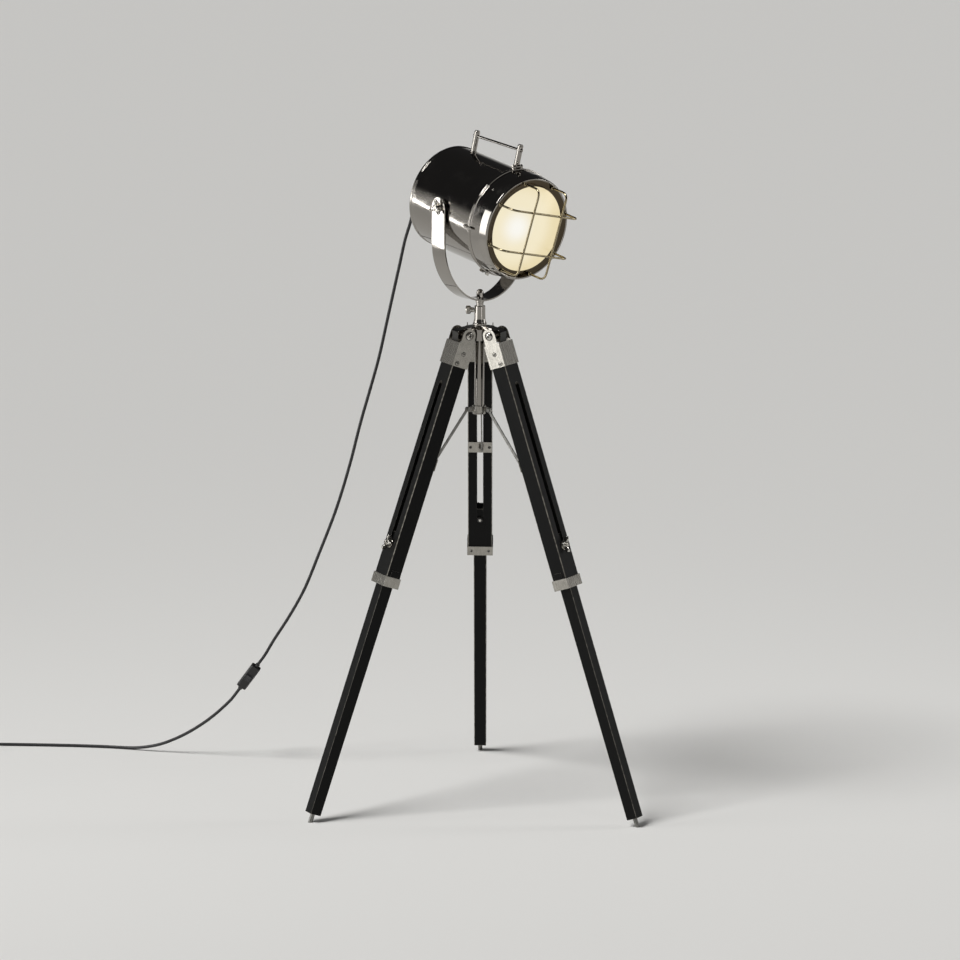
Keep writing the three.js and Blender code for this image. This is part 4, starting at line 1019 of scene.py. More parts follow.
@dataclass
class Handle:
    """Handle on top of the barrel: two round posts and a rod through both, brazed together."""

    rear: float = -59
    front: float = 88
    turn: float = 7
    rear_base: float = 112.3
    front_base: float = 120.3
    height: float = 48
    post: float = 6.4
    foot_over: float = 1.6
    neck_in: float = 0.8
    rod: float = 3
    rod_height: float = 36
    rod_over: float = 8.4
    cap: float = 4.4

    def build(self, places: Places) -> None:
        """Builds the handle.

        Args:
            places: the frames.
        """
        shape = Shape(places.axis @ round_y(-self.turn))
        for place, base in ((self.rear, self.rear_base), (self.front, self.front_base)):
            foot, neck, top = self.post + self.foot_over, self.post - self.neck_in, base + self.height
            post = turned(rounded([
                (0, base), (foot, base), (foot, base + 1.6), (self.post, base + 2.6), (self.post, top - 3),
                (neck, top - 2.4), (neck, top), (0, top),
            ], 0.9, closed=False), 48)
            shape.add(post, shift(y=place), ALONG_Z)
        rise = self.front_base - self.rear_base
        run = self.front - self.rear
        span = math.hypot(run, rise)
        lean = round_x(math.degrees(math.atan2(rise, run)))
        move = shift(y=self.rear, z=self.rear_base + self.rod_height) @ lean
        shape.add(rod(self.rod, 0, span, 0, 32), move)
        for start, way in ((0, 180), (span, 0)):
            cap = turned(rounded([
                (0, 0), (self.cap, 0), (self.cap, self.rod_over - 2), (self.cap * 0.55, self.rod_over),
                (0, self.rod_over),
            ], 1.2, closed=False), 32)
            shape.add(cap, move, shift(y=start), round_x(way))
        shape.show("handle_brazed", "head", MIRROR, stands_for=["handle"])


@dataclass
class Inside:
    """Reflector, lamp holder and bulb, behind the lens."""

    bowl: float = 109.6
    hole: float = 18.2
    back: float = -40
    front: float = 103
    wall: float = 1.2
    rim: float = 2
    holder: float = 17
    holder_front: float = -42
    holder_back: float = -119.9
    bore: float = 14.2
    bore_depth: float = 25
    bulb_radius: float = 31
    bulb_centre: float = 2
    neck: float = 13.6
    neck_back: float = -66.6
    neck_front: float = -34

    def build(self, places: Places) -> None:
        """Builds the three pieces.

        Args:
            places: the frames.
        """
        steps = 14
        shares = [i / steps for i in range(steps + 1)]
        reach = self.bowl - self.wall - self.hole
        curve = [(self.hole + reach * s, self.back + (self.front - self.back) * s * s) for s in shares]
        rim = self.front + self.rim
        profile = curve + [(self.bowl - self.wall, rim), (self.bowl, rim)]
        profile += [(r + self.wall, y) for r, y in reversed(curve)]
        dish = Shape(places.axis).add(turned(profile, 96, closed=True))
        dish.show("reflector_dish", "head", DISH, stands_for=["reflector"])
        bore_end = self.holder_front - self.bore_depth
        holder = turned(rounded([
            (0, self.holder_back), (self.holder, self.holder_back), (self.holder, self.holder_front),
            (self.bore, self.holder_front), (self.bore, bore_end), (0, bore_end),
        ], 1, closed=False), 48)
        Shape(places.axis).add(holder).show("holder_body", "head", PORCELAIN, stands_for=["lamp_holder"])
        globe = [(0, self.neck_back), (self.neck, self.neck_back), (self.neck, self.neck_front)]
        for angle in (math.radians(degrees) for degrees in range(-48, 90, 6)):
            globe.append((
                self.bulb_radius * math.cos(angle), self.bulb_centre + self.bulb_radius * math.sin(angle),
            ))
        globe.append((0, self.bulb_centre + self.bulb_radius))
        Shape(places.axis).add(turned(globe, 64)).show("bulb_globe", "head", BULB, stands_for=["bulb"])


@dataclass
class Bezel:
    """Hinged ring with its lip, lens, guard wires and rivets."""

    back: float = 107.8
    rim_radius: float = 121
    rim_length: float = 3.8
    body_radius: float = 118
    front_radius: float = 114
    front: float = 162.6
    nose: float = 2.4
    groove: float = 5.4
    lip_radius: float = 94.5
    lip_thickness: float = 4
    cove_radius: float = 108.8
    cove_depth: float = 2
    cove_bow: float = 0.62
    wall: float = 2.5
    hinge_radius: float = 4
    hinge_height: float = 125
    hinge_place: float = 107.65
    half_barrel: float = 6
    half_bezel: float = 13
    pin_radius: float = 1.9
    dome_rise: float = 15
    dome_edge: float = 93.9
    dome_drop: float = 1.2
    glass: float = 3.4
    glass_rim: tuple[float, float] = (106, 3.2)
    wire: float = 2.4
    level_offset: float = 45
    upright_offset: float = 40.5
    wire_end: float = 105
    stand: float = 52
    cross_step: float = 4
    bend: float = 18
    turn: float = 11.5
    rivet_turns: tuple[float, ...] = (48, 132)
    rivet_place: float = 128
    rivet_outline: Outline = ((0, 0), (3.4, 0), (3.2, 1.2), (1.8, 2.2), (0, 2.4))
    foot_outline: Outline = ((0, 0), (4.4, 0), (4.2, 1.2), (2.6, 2.4), (0, 2.4))
    weld_outline: Outline = ((0, -2), (3.1, -1.6), (3.1, 1.6), (0, 2))

    def build(self, places: Places) -> None:
        """Builds ring, lens and guard.

        Args:
            places: the frames.
        """
        self.ring(places)
        self.lens(places)
        self.guard(places)

    def ring(self, places: Places) -> None:
        """Builds the turned ring, its lip in painted dark bronze shade, the knuckles and the rivets.

        Args:
            places: the frames.
        """
        rim_end = self.back + self.rim_length
        waist = rim_end + 0.6 * (self.front - rim_end)
        waist_radius = self.body_radius - 0.3 * (self.body_radius - self.front_radius)
        lip_back = self.front - self.lip_thickness
        outer = rounded([
            (self.body_radius - self.wall, self.back), (self.rim_radius, self.back),
            (self.rim_radius, rim_end), (self.body_radius, rim_end + 0.6), (waist_radius, waist),
            (self.front_radius, self.front - self.nose), (self.front_radius - self.nose, self.front),
            (self.front_radius - self.groove, self.front - 0.6),
            (self.front_radius - self.groove, lip_back), (self.front_radius - self.wall, lip_back),
            (waist_radius - self.wall, waist),
        ], 1.6, steps=5)
        shape = Shape(places.axis).add(turned(outer, 160, closed=True))
        top = self.front - 0.9
        reach = self.cove_radius - 1.2 - self.lip_radius
        cove = [(self.cove_radius, top)]
        for share in (0.2, 0.4, 0.6, 0.8, 1):
            sink = self.cove_depth * math.sin(math.pi * share * self.cove_bow)
            cove.append((self.cove_radius - reach * share, top - sink))
        cove += [(self.lip_radius, self.front - 2.2), (self.lip_radius, lip_back)]
        cove += [(self.cove_radius, lip_back)]
        # The lip takes the second finish, painted dark as its shade
        shape.add(turned(cove, 160, closed=True), material=1)
        hinge = shift(y=self.hinge_place, z=self.hinge_height)
        inner_end = self.half_barrel + RUN
        for start, end in ((-self.half_bezel, -inner_end), (inner_end, self.half_bezel)):
            shape.add(rod(self.hinge_radius, start, end, 0.5), hinge, ALONG_X)
            shape.add(block(
                (start, self.back, self.rim_radius - 3),
                (end, self.hinge_place + self.hinge_radius, self.hinge_height), 0.6,
            ))
        shape.add(rod(self.pin_radius, -self.half_bezel - 1, self.half_bezel + 1, 0.6, 20), hinge, ALONG_X)
        seat = shift(y=self.rivet_place, z=self.body_radius - 1.2)
        for turn in self.rivet_turns:
            rivet = turned(rounded(self.rivet_outline, 0.6, closed=False), 24)
            shape.add(rivet, round_y(90 - turn), seat, round_x(90))
        shape.show("bezel_ring", "bezel", MIRROR, LIP_SHADE, stands_for=["bezel"])

    def lens(self, places: Places) -> None:
        """Builds the frosted dome with its flange.

        Args:
            places: the frames.
        """
        edge = self.dome_edge
        seat = self.front - self.lip_thickness - TOUCH

        def height(radius: float) -> float:
            """Returns the dome's place at a radius."""
            return self.front + self.dome_rise * (1 - (radius / edge) ** 2) - self.dome_drop

        rings = [edge * i / 12 for i in range(13)]
        rim, thickness = self.glass_rim
        under = seat - thickness
        profile = [(r, height(r)) for r in rings]
        profile += [(edge, seat), (rim, seat), (rim, under), (edge - self.glass, under)]
        profile += [(r, height(r) - self.glass) for r in reversed(rings[:-1])]
        dome = Shape(places.axis).add(turned(profile, 128))
        dome.show("lens_dome", "bezel", GLASS, stands_for=["lens"], smooth=50)

    def guard(self, places: Places) -> None:
        """Builds four bent wires with welds at their crossings and feet at their ends.

        Args:
            places: the frames.
        """
        shape = Shape(places.axis @ round_y(-self.turn))
        pairs = (
            (True, self.stand - self.cross_step, self.level_offset),
            (False, self.stand, self.upright_offset),
        )
        for level, stand, offset in pairs:
            reach = math.sqrt(self.wire_end ** 2 - offset ** 2)
            top = self.front + stand
            seat = self.front + TOUCH
            path = rounded([
                (-reach, seat), (-reach, top), (reach, top), (reach, seat),
            ], self.bend, closed=False, steps=10)
            for side in (-offset, offset):
                points = [Vector((u, y, side) if level else (side, y, u)) for u, y in path]
                shape.add(swept(circle(self.wire, 20), along(points)))
                for u in (-reach, reach):
                    foot = turned(rounded(self.foot_outline, 0.7, closed=False), 24)
                    shape.add(foot, shift(*((u, seat, side) if level else (side, seat, u))))
        for x in (-self.upright_offset, self.upright_offset):
            for z in (-self.level_offset, self.level_offset):
                weld = turned(rounded(self.weld_outline, 1.4, closed=False), 20)
                shape.add(weld, shift(x, self.front + self.stand - self.cross_step / 2, z))
        shape.show("guard_wires", "bezel", WIRE, stands_for=["guard"])


@dataclass
class Clip:
    """Small spring clip that lies over the bezel's rear rim."""

    def build(self, places: Places) -> None:
        """Builds both clips from their nodes, with rounded edges.

        Args:
            places: the frames.
        """
        for side in ("near", "far"):
            shape = Shape(places.axis).copy_of(f"latch_{side}", 0.35, 2, 50)
            shape.show(f"clip_{side}", f"latch_{side}", BOLT, stands_for=[f"latch_{side}"])


@dataclass
class Yoke:
    """Strap, spigot, domed nut and the two tilt knobs."""

    half_span: float = 115
    thickness: float = 4
    width: float = 44
    bottom: float = 1133
    bend_height: float = 139
    bend_steps: int = 72
    pivot: float = 1348
    end_angles: tuple[float, ...] = (0, 20, 38, 54, 68, 78, 84, 88)
    spigot: float = 8
    spigot_bottom: float = 1086
    ring_over: float = 1.4
    ring_length: float = 6
    stud: float = 5
    stud_rise: float = 11
    nut: float = 8
    nut_height: float = 11
    nut_dome: float = 8
    knob_hub: float = 8.5
    knob_height: float = 12
    lobes: int = 3
    lobe_reach: float = 14
    lobe: float = 5.5
    lobe_tube: tuple[float, float] = (1.9, 2.6)
    web: float = 2.4
    washer: float = 11
    washer_thickness: float = 2
    screw: float = 4
    screw_end: float = 107.5

    def build(self, places: Places) -> None:
        """Builds the four kinds of pieces.

        Args:
            places: the frames.
        """
        self.strap(places)
        self.stem(places)
        for side in Side:
            self.knob(places, side)

    def strap(self, places: Places) -> None:
        """Sweeps a flat bar with soft edges round the U and rounds its two ends.

        Args:
            places: the frames.
        """
        across = self.half_span + self.thickness / 2
        down = self.bend_height - self.thickness / 2
        centre = self.bottom + self.bend_height
        half = self.width / 2
        ends = [math.radians(angle) for angle in self.end_angles]
        path: list[tuple[float, float, float]] = []
        for angle in reversed(ends):
            path.append((-across, self.pivot + half * math.sin(angle), math.cos(angle)))
        path.append((-across, (self.pivot + centre) / 2, 1))
        for i in range(self.bend_steps + 1):
            angle = math.pi + math.pi * i / self.bend_steps
            path.append((across * math.cos(angle), centre + down * math.sin(angle), 1))
        path.append((across, (self.pivot + centre) / 2, 1))
        for angle in ends:
            path.append((across, self.pivot + half * math.sin(angle), math.cos(angle)))
        steps = []
        flat = Vector((0, 1, 0))
        for i, (x, z, share) in enumerate(path):
            before, after = path[max(i - 1, 0)], path[min(i + 1, len(path) - 1)]
            way = Vector((after[0] - before[0], 0, after[1] - before[1])).normalized()
            normal = flat.cross(way)
            turn = Matrix((normal, flat, normal.cross(flat))).transposed().to_4x4()
            steps.append(shift(x, 0, z) @ turn @ Matrix.Diagonal((1, share, 1, 1)))
        t, w = self.thickness / 2, half
        section = rounded([(-t, -w), (t, -w), (t, w), (-t, w)], 1, steps=3)
        strap = Shape(places.pan).add(swept(section, steps))
        strap.show("strap", "yoke", MIRROR, stands_for=["yoke_strap"], smooth=60)

    def stem(self, places: Places) -> None:
        """Builds the spigot below the strap and the long domed nut above it.

        Args:
            places: the frames.
        """
        base = self.spigot_bottom
        seat = self.bottom - TOUCH
        ring = self.spigot + self.ring_over
        top = self.bottom + self.thickness + self.stud_rise
        stud = turned(rounded([
            (0, base), (self.spigot, base), (self.spigot, seat - self.ring_length),
            (ring, seat - self.ring_length + 1), (ring, seat), (self.stud, seat), (self.stud, top), (0, top),
        ], 0.5, closed=False), 56)
        Shape(places.pan).add(stud, ALONG_Z).show("spigot_stem", "yoke", MIRROR, stands_for=["yoke_spigot"])
        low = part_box("yoke_nut")[0].z / MM
        high = low + self.nut_height
        dome = turned(rounded([
            (0, low), (self.nut, low), (self.nut, high), (self.nut * 0.86, high + self.nut_dome * 0.5),
            (self.nut * 0.5, high + self.nut_dome * 0.92), (0, high + self.nut_dome),
        ], 1.2, closed=False), 56)
        Shape(places.pan).add(dome, ALONG_Z).show("domed_nut", "yoke", MIRROR, stands_for=["yoke_nut"])

    def knob(self, places: Places, side: Side) -> None:
        """Builds a three-lobed tilt knob with a ring at the end of each lobe.

        Args:
            places: the frames.
            side: which side it is on.
        """
        seat = self.half_span + self.thickness + TOUCH
        name = side.name.lower()
        shape = Shape(places.head @ round_z(0 if side is Side.NEAR else 180))
        washer_end = seat + self.washer_thickness
        shape.add(rod(self.washer, seat, washer_end, 0.5, 40), ALONG_X)
        shape.add(rod(self.screw, self.screw_end, washer_end, 0.3, 24), ALONG_X)
        top = seat + self.knob_height
        hub = turned(rounded([
            (0, seat + 1), (self.knob_hub, seat + 1), (self.knob_hub, top - 4), (6.4, top - 1),
            (3.4, top), (0, top),
        ], 1.2, closed=False), 40)
        shape.add(hub, ALONG_X)
        middle = top - 3.5
        wide, high = self.lobe_tube
        angles = [math.tau * i / 12 for i in range(12)]
        tube = [(self.lobe - wide + wide * math.cos(a), high * math.sin(a)) for a in angles]
        for i in range(self.lobes):
            turn = round_x(360 / self.lobes * i)
            ring = turned(tube, 28, closed=True)
            shape.add(ring, turn, shift(middle, 0, self.lobe_reach), ALONG_X)
            web = block((middle - self.web, -high, 0), (middle + self.web, high, self.lobe_reach - 3), 1)
            shape.add(web, turn)
        stands_for = [f"tilt_knob_{name}", f"tilt_screw_{name}"]
        shape.show(f"knob_{name}", f"tilt_knob_{name}", BOLT, stands_for=stands_for)


@dataclass
class TripodTop:
    """Crown, socket, thumb screw, centre post and collar."""

    seat: float = 1077.3
    socket_top: float = 1120
    bore: float = 8.3
    bore_bottom: float = 1086
    base: float = 15.5
    waist: float = 12
    waist_height: float = 14
    post: float = 10.8
    post_bottom: float = 879
    stop: float = 14
    stop_top: float = 882.7
    post_top: float = 1046.2
    screw_turn: float = 184
    screw_height: float = 1111
    screw_radius: float = 2.6
    teeth: int = 40
    tooth_radius: float = 9.4
    tooth_depth: float = 0.55
    knurl: tuple[float, float] = (8, 25.8)
    core: Outline = ((0, 20), (8.2, 20), (8.2, 29.8), (7, 31), (5, 31), (4.4, 30.2), (0, 30.2))
    arm_end: float = 40

    def build(self, places: Places) -> None:
        """Builds the pieces.

        Args:
            places: the frames.
        """
        crown = Shape(places.floor).copy_of("crown", 0.9, 3)
        # The arms' end faces take the near-black second finish: painted shade of their open ends
        crown.parts.normal_update()
        for face in crown.parts.faces:
            out = face.calc_center_median().xy
            if out.length > self.arm_end and face.normal.xy.dot(out.normalized()) > 0.98:
                face.material_index = 1
        crown.show("crown_casting", "crown", MIRROR, RECESS, stands_for=["crown"])
        socket = turned(rounded([
            (0, self.seat), (self.base, self.seat), (self.base, self.seat + 4),
            (self.base - 1.2, self.seat + 5.4),
            (self.waist + 0.4, self.seat + self.waist_height), (self.waist, self.socket_top),
            (self.bore, self.socket_top), (self.bore, self.bore_bottom), (0, self.bore_bottom),
        ], 1, closed=False), 72)
        Shape(places.floor).add(socket, ALONG_Z).show("socket_tube", "crown", MIRROR, stands_for=["socket"])
        post = turned(rounded([
            (0, self.post_bottom), (self.stop, self.post_bottom), (self.stop, self.stop_top),
            (self.post, self.stop_top),
            (self.post, self.post_top), (0, self.post_top),
        ], 0.8, closed=False), 56)
        Shape(places.floor).add(post, ALONG_Z).show("post_tube", "crown", MIRROR, stands_for=["centre_post"])
        collar = Shape(places.floor).copy_of("collar", 0.5, 2)
        collar.show("collar_ring", "collar", PLATE, stands_for=["collar"])
        self.thumb_screw(places)

    def thumb_screw(self, places: Places) -> None:
        """Builds the knurled thumb screw in the socket.

        Args:
            places: the frames.
        """
        shape = Shape(places.floor @ round_z(self.screw_turn) @ shift(z=self.screw_height * MM))
        shape.add(rod(self.screw_radius, 8.4, 24, 0.2, 24), ALONG_X)
        rim = [
            (self.tooth_radius - self.tooth_depth * (i % 2), math.tau * i / (2 * self.teeth))
            for i in range(2 * self.teeth)
        ]
        width, middle = self.knurl
        knurl = slab([(r * math.cos(a), r * math.sin(a)) for r, a in rim], width, 0.2, 1)
        shape.add(knurl, shift(x=middle), round_y(90))
        shape.add(turned(rounded(self.core, 0.5, closed=False), 48), ALONG_X)
        shape.add(rod(5.4, 13, 21, 0.6, 32), ALONG_X)
        shape.show("thumb_knob", "socket_screw", BOLT, stands_for=["socket_screw"])


@dataclass
class LegSet:
    """One leg: cap, slotted upper leg, band, brace plate, lower leg, foot, bolts and wing nut."""

    leg: Leg
    ear: float = 29
    face: float = 17.5
    cap_top: float = 19.6
    cap_bottom: float = 72
    screw_places: tuple[float, float] = (0.42, 0.86)
    screw_offsets: tuple[float, float] = (0.02, 0.26)
    cap_screw: tuple[float, float] = (4.2, 1.6)
    cap_washer: float = 5.2
    sheet: float = 1.7
    band: tuple[float, float] = (554, 577)
    band_screw: tuple[float, float] = (3.2, 1.4)
    band_screw_x: float = 19.5
    plate: tuple[float, float] = (278.5, 305.5)
    plate_screw: tuple[float, float] = (3.4, 1.5)
    plate_screw_x: float = 21
    bolt: float = 4
    hinge_washer: float = 9.6
    hinge_screw: tuple[float, float] = (8.4, 3.4)
    hinge_turn: float = 35
    pitch: float = 1.25
    thread_turns: int = 10
    thread_root: float = 3.5
    bolt_over: float = 15
    clamp: float = 484
    depth: float = 35
    wing_turn: float = 72
    wing_span: float = 36
    wing_height: float = 13
    hub: float = 8
    hub_height: float = 10
    wing_washer: float = 10.5
    wing_width: float = 4.4
    clamp_head: float = 6
    clamp_dot: float = 3

    def build(self, places: Places) -> None:
        """Builds the leg.

        Args:
            places: the frames.
        """
        side = self.leg.value
        own = places.leg(self.leg)
        cap = Shape(own).copy_of(f"leg_cap_{side}", 0.45, 2)
        for sign in (-1, 1):
            for share, offset in zip(self.screw_places, self.screw_offsets):
                z = -self.cap_top - share * (self.cap_bottom - self.cap_top)
                out = round_z(-90 * sign)
                # A thin near-black washer under each screw head: a painted shade ring round the head
                washer = rod(self.cap_washer, 0, 0.35, 0.1, 32)
                cap.add(washer, shift(sign * (self.ear - 0.05), offset * self.depth, z), out, material=1)
                add_screw(cap, *self.cap_screw, shift(sign * self.ear, offset * self.depth, z), out)
        cap.show(f"cap_{side}", f"leg_{side}", PLATE, RECESS, stands_for=[f"leg_cap_{side}"])
        # The bars' bevels carry the painted edge highlight
        upper = Shape(own).copy_of(f"upper_leg_{side}", 0.4, 2).mark_highlight_edges()
        upper.show(f"upper_bar_{side}", f"leg_{side}", WOOD, stands_for=[f"upper_leg_{side}"], smooth=30)
        lower = Shape(own).copy_of(f"lower_leg_{side}", 1.3, 2).mark_highlight_edges()
        lower.show(f"lower_bar_{side}", f"lower_{side}", WOOD, stands_for=[f"lower_leg_{side}"], smooth=30)
        band = Shape(own).copy_of(f"leg_band_{side}", 0.45, 2)
        plate = Shape(own).copy_of(f"brace_plate_{side}", 0.4, 2)
        inner = -self.face - TOUCH - self.sheet
        for sign in (-1, 1):
            band_seat = shift(sign * self.band_screw_x, inner, -sum(self.band) / 2)
            add_screw(band, *self.band_screw, band_seat, round_x(180), head=1)
            plate_seat = shift(sign * self.plate_screw_x, inner, -sum(self.plate) / 2)
            add_screw(plate, *self.plate_screw, plate_seat, round_x(180), head=1)
        band.show(f"band_{side}", f"leg_{side}", PLATE, RECESS, stands_for=[f"leg_band_{side}"])
        plate.show(f"plate_{side}", f"leg_{side}", PLATE, RECESS, stands_for=[f"brace_plate_{side}"])
        brace = Shape(own).copy_of(f"brace_{side}", 0.35, 2)
        brace.show(f"stay_{side}", f"brace_{side}", STEEL, stands_for=[f"brace_{side}"])
        foot = Shape(own).copy_of(f"foot_{side}", 0.4, 2, 40)
        foot.show(f"peg_{side}", f"lower_{side}", STEEL, stands_for=[f"foot_{side}"])
        self.hinge_bolt(own, side)
        self.clamp_bolt(own, side)
        self.wing_nut(own, side)

    def hinge_bolt(self, own: Matrix, side: str) -> None:
        """Builds the hinge bolt with a cross-head dome on each side.

        Args:
            own: the leg's frame.
            side: the leg's name.
        """
        shape = Shape(own).add(rod(self.bolt, -self.ear - 2, self.ear + 2, 0, 28), ALONG_X)
        for sign in (-1, 1):
            seat, out = self.ear + TOUCH, round_z(-90 * sign)
            # A thin near-black washer under each dome: a painted shade ring round the head
            shape.add(rod(self.hinge_washer, 0, 0.6, 0.2, 36), shift(sign * seat), out, material=1)
            add_screw(shape, *self.hinge_screw, shift(sign * (seat + 0.4)), out, round_y(self.hinge_turn))
        shape.show(f"hinge_screw_{side}", "crown", BOLT, RECESS, stands_for=[f"hinge_bolt_{side}"])

    def clamp_bolt(self, own: Matrix, side: str) -> None:
        """Builds the clamp bolt with a thread at its end.

        Args:
            own: the leg's frame.
            side: the leg's name.
        """
        end = self.face + TOUCH + self.bolt_over
        thread: list[tuple[float, float]] = []
        for i in range(self.thread_turns):
            start = self.face + 3 + i * self.pitch
            thread += [(self.thread_root, start), (self.bolt, start + self.pitch / 2)]
        place = shift(z=-self.clamp)
        shape = Shape(own).add(turned([
            (0, -self.face - 2), (self.bolt, -self.face - 2), (self.bolt, self.face + 2.4), *thread,
            (3.2, end - 0.4), (2.8, end), (0, end),
        ], 28), place)
        seat = self.face + TOUCH
        head = rounded([
            (0, -seat), (self.clamp_head, -seat), (self.clamp_head, -seat - 1.2), (3.9, -seat - 2),
            (0, -seat - 2),
        ], 0.5, closed=False)
        shape.add(turned(head, 36), place, material=1)
        dot = rounded([
            (0, -seat - 1.5), (self.clamp_dot, -seat - 1.5), (self.clamp_dot, -seat - 2.2),
            (1.9, -seat - 2.5), (0, -seat - 2.5),
        ], 0.4, closed=False)
        shape.add(turned(dot, 28), place)
        shape.show(f"clamp_screw_{side}", f"lower_{side}", BOLT, ABS, stands_for=[f"clamp_bolt_{side}"])

    def wing_nut(self, own: Matrix, side: str) -> None:
        """Builds the wing nut with its washer.

        Args:
            own: the leg's frame.
            side: the leg's name.
        """
        seat = self.face + TOUCH
        shape = Shape(own @ shift(0, seat * MM, -self.clamp * MM) @ round_y(self.wing_turn))
        rim = self.wing_washer
        shape.add(turned([(4.4, 0), (rim, 0), (rim, 1.6), (rim - 0.4, 2), (4.4, 2)], 40, closed=True))
        hub = rounded([
            (4.3, 2), (self.hub, 2), (self.hub - 1.4, self.hub_height), (4.3, self.hub_height),
        ], 0.8, steps=3)
        shape.add(turned(hub, 40, closed=True))
        half = self.wing_span / 2
        tip = 2 + self.wing_height
        wing = rounded([
            (4.6, 2.4), (self.hub, 2.4), (half, 6.5), (half, tip), (0.3 * self.wing_span, tip),
            (4.6, self.hub_height),
        ], 3.4, steps=5)
        for turn in (0, 180):
            shape.add(slab(wing, self.wing_width, 1.3, 3), round_y(turn))
        shape.show(f"wings_{side}", f"wing_{side}", BOLT, stands_for=[f"wing_nut_{side}"])


@dataclass
class Cord:
    """Cord from the gland through the switch to the coil and the plug.

    Its route is in millimetres from the point where the pan axis meets the floor.
    """

    radius: float = 3.5
    floor: float = 3.62
    lead: float = 26
    step: float = 9
    bend_m: float = 0.32
    gland_end: float = -164.6
    switch_at: tuple[float, float, float] = (-529, 288, 201)
    switch_way: tuple[float, float, float] = (-40, 13, -57)
    switch_length: float = 62
    switch_sleeve: float = 7
    coil_x: float = -1196
    coil_pitch: float = 7.7
    coil_middle: float = 31
    turns_in: float = 2.25
    turns_out: float = 2
    start_turn: float = 90
    layer_rise: float = 7.7
    climb_turns: float = 0.5
    turn_steps: int = 48
    switch_screws: tuple[float, float] = (-24, 24)
    switch_screw: tuple[float, float] = (2.2, 0.8)
    switch_back: float = -9
    pins_start: float = 70.4
    upper: tuple[tuple[float, float, float], ...] = (
        (-139, 159, 1351), (-151, 168, 1322), (-158, 172, 1281), (-171, 177, 1236), (-183, 181, 1180),
        (-196, 185, 1120), (-212, 190, 1045), (-230, 195, 962), (-250, 201, 888), (-271, 208, 812),
        (-295, 215, 715), (-326, 225, 610), (-366, 237, 502), (-400, 248, 416), (-435, 259, 350),
        (-471, 270, 291),
    )
    lower: tuple[tuple[float, float, float], ...] = (
        (-570, 301, 143), (-610, 314, 102), (-652, 327, 68), (-694, 340, 41), (-740, 354, 19),
        (-790, 368, 6.5),
    )
    ground: tuple[tuple[float, float], ...] = ((-840, 379), (-900, 386), (-980, 390), (-1060, 391))

    def build(self, places: Places) -> None:
        """Args:
            places: the frames.
        """
        route = self.route(places)
        shape = Shape(places.floor).add(swept(circle(self.radius, 16), along(route)))
        piece = shape.show(
            "cord", None, SHEATH, stands_for=["cord_upper", "cord_lower", "cord_coil"], smooth=60,
        )
        switch, rocker = self.switch(places)
        plug = self.plug(places, route[-1])
        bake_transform(piece)

    def switch_frame(self) -> Matrix:
        """Works out the switch's frame in millimetres: z down the cord and y out through the rocker.

        Returns:
            The frame.
        """
        way = Vector(self.switch_way).normalized()
        out = Vector((0, -1, 0)).cross(way).normalized()
        face = way.cross(out).normalized()
        return Matrix.Translation(self.switch_at) @ Matrix((out, face, way)).transposed().to_4x4()

    def route(self, places: Places) -> list[Vector]:
        """Works out the cord's centreline in millimetres from the pan axis's foot.

        Args:
            places: the frames.

        Returns:
            Its points, from the gland to the plug.
        """
        to_floor = places.floor.inverted() @ places.axis
        start = to_floor @ Vector((0, self.gland_end * MM, 0)) / MM
        second = to_floor @ Vector((0, (self.gland_end - self.lead) * MM, 0)) / MM
        case = self.switch_frame()
        half = self.switch_length / 2 + self.switch_sleeve + TOUCH
        ends = [case @ Vector((0, 0, z)) for z in (-half - self.lead, -half, half, half + self.lead)]
        winding = self.winding()
        upper = [start, second, *map(Vector, self.upper), ends[0], ends[1]]
        entry = winding[0]
        lower = [ends[2], ends[3], *map(Vector, self.lower)]
        lower += [Vector((x, y, self.floor)) for x, y in self.ground]
        lower += [entry + Vector((TOUCH + self.lead, 0, 0)), entry + Vector((TOUCH, 0, 0))]
        lower = [Vector((p.x, p.y, max(p.z, self.floor))) for p in self.laid(lower)]
        return [*self.laid(upper), *lower, *winding]

    def laid(self, points: Sequence[Vector]) -> list[Vector]:
        """Returns points at even steps on a smooth curve through the given ones.

        Args:
            points: the points that the curve passes.

        Returns:
            The curve's points.
        """
        ends = [2 * points[0] - points[1], *points, 2 * points[-1] - points[-2]]
        result = [points[0].copy()]
        for a, b, c, d in zip(ends, ends[1:], ends[2:], ends[3:]):
            count = max(1, round((c - b).length / self.step))
            k1, k2, k3 = (max((q - p).length ** 0.5, 1e-6) for p, q in ((a, b), (b, c), (c, d)))
            for i in range(1, count + 1):
                t = k1 + k2 * i / count
                first = a.lerp(b, t / k1)
                middle = b.lerp(c, (t - k1) / k2)
                last = c.lerp(d, (t - k1 - k2) / k3)
                left = first.lerp(middle, t / (k1 + k2))
                right = middle.lerp(last, (t - k1) / (k2 + k3))
                result.append(left.lerp(right, (t - k1) / k2))
        return result

    def winding(self) -> list[Vector]:
        """Works out the coil: a spiral in on the lower layer, half a turn's climb, and a spiral out above.

        Returns:
            Its points.
        """
        outer = self.coil_middle + self.coil_pitch * self.turns_in
        centre = Vector((self.coil_x, self.ground[-1][1] - outer, 0))
        total = self.turns_in + self.turns_out
        count = round(total * self.turn_steps)
        points = []
        for i in range(count + 1):
            turns = -self.turns_in + total * i / count
            angle = math.radians(self.start_turn + 360 * (turns + self.turns_in))
            radius = self.coil_middle + self.coil_pitch * abs(turns)
            climb = min(max(turns / self.climb_turns + 0.5, 0), 1)
            rise = self.layer_rise * (1 - math.cos(math.pi * climb)) / 2
            height = self.floor + rise
            points.append(centre + Vector((radius * math.cos(angle), radius * math.sin(angle), height)))
        straight = 2 * self.radius
        return [points[0] + Vector((straight, 0, 0)), *points, points[-1] + Vector((0, -straight, 0))]

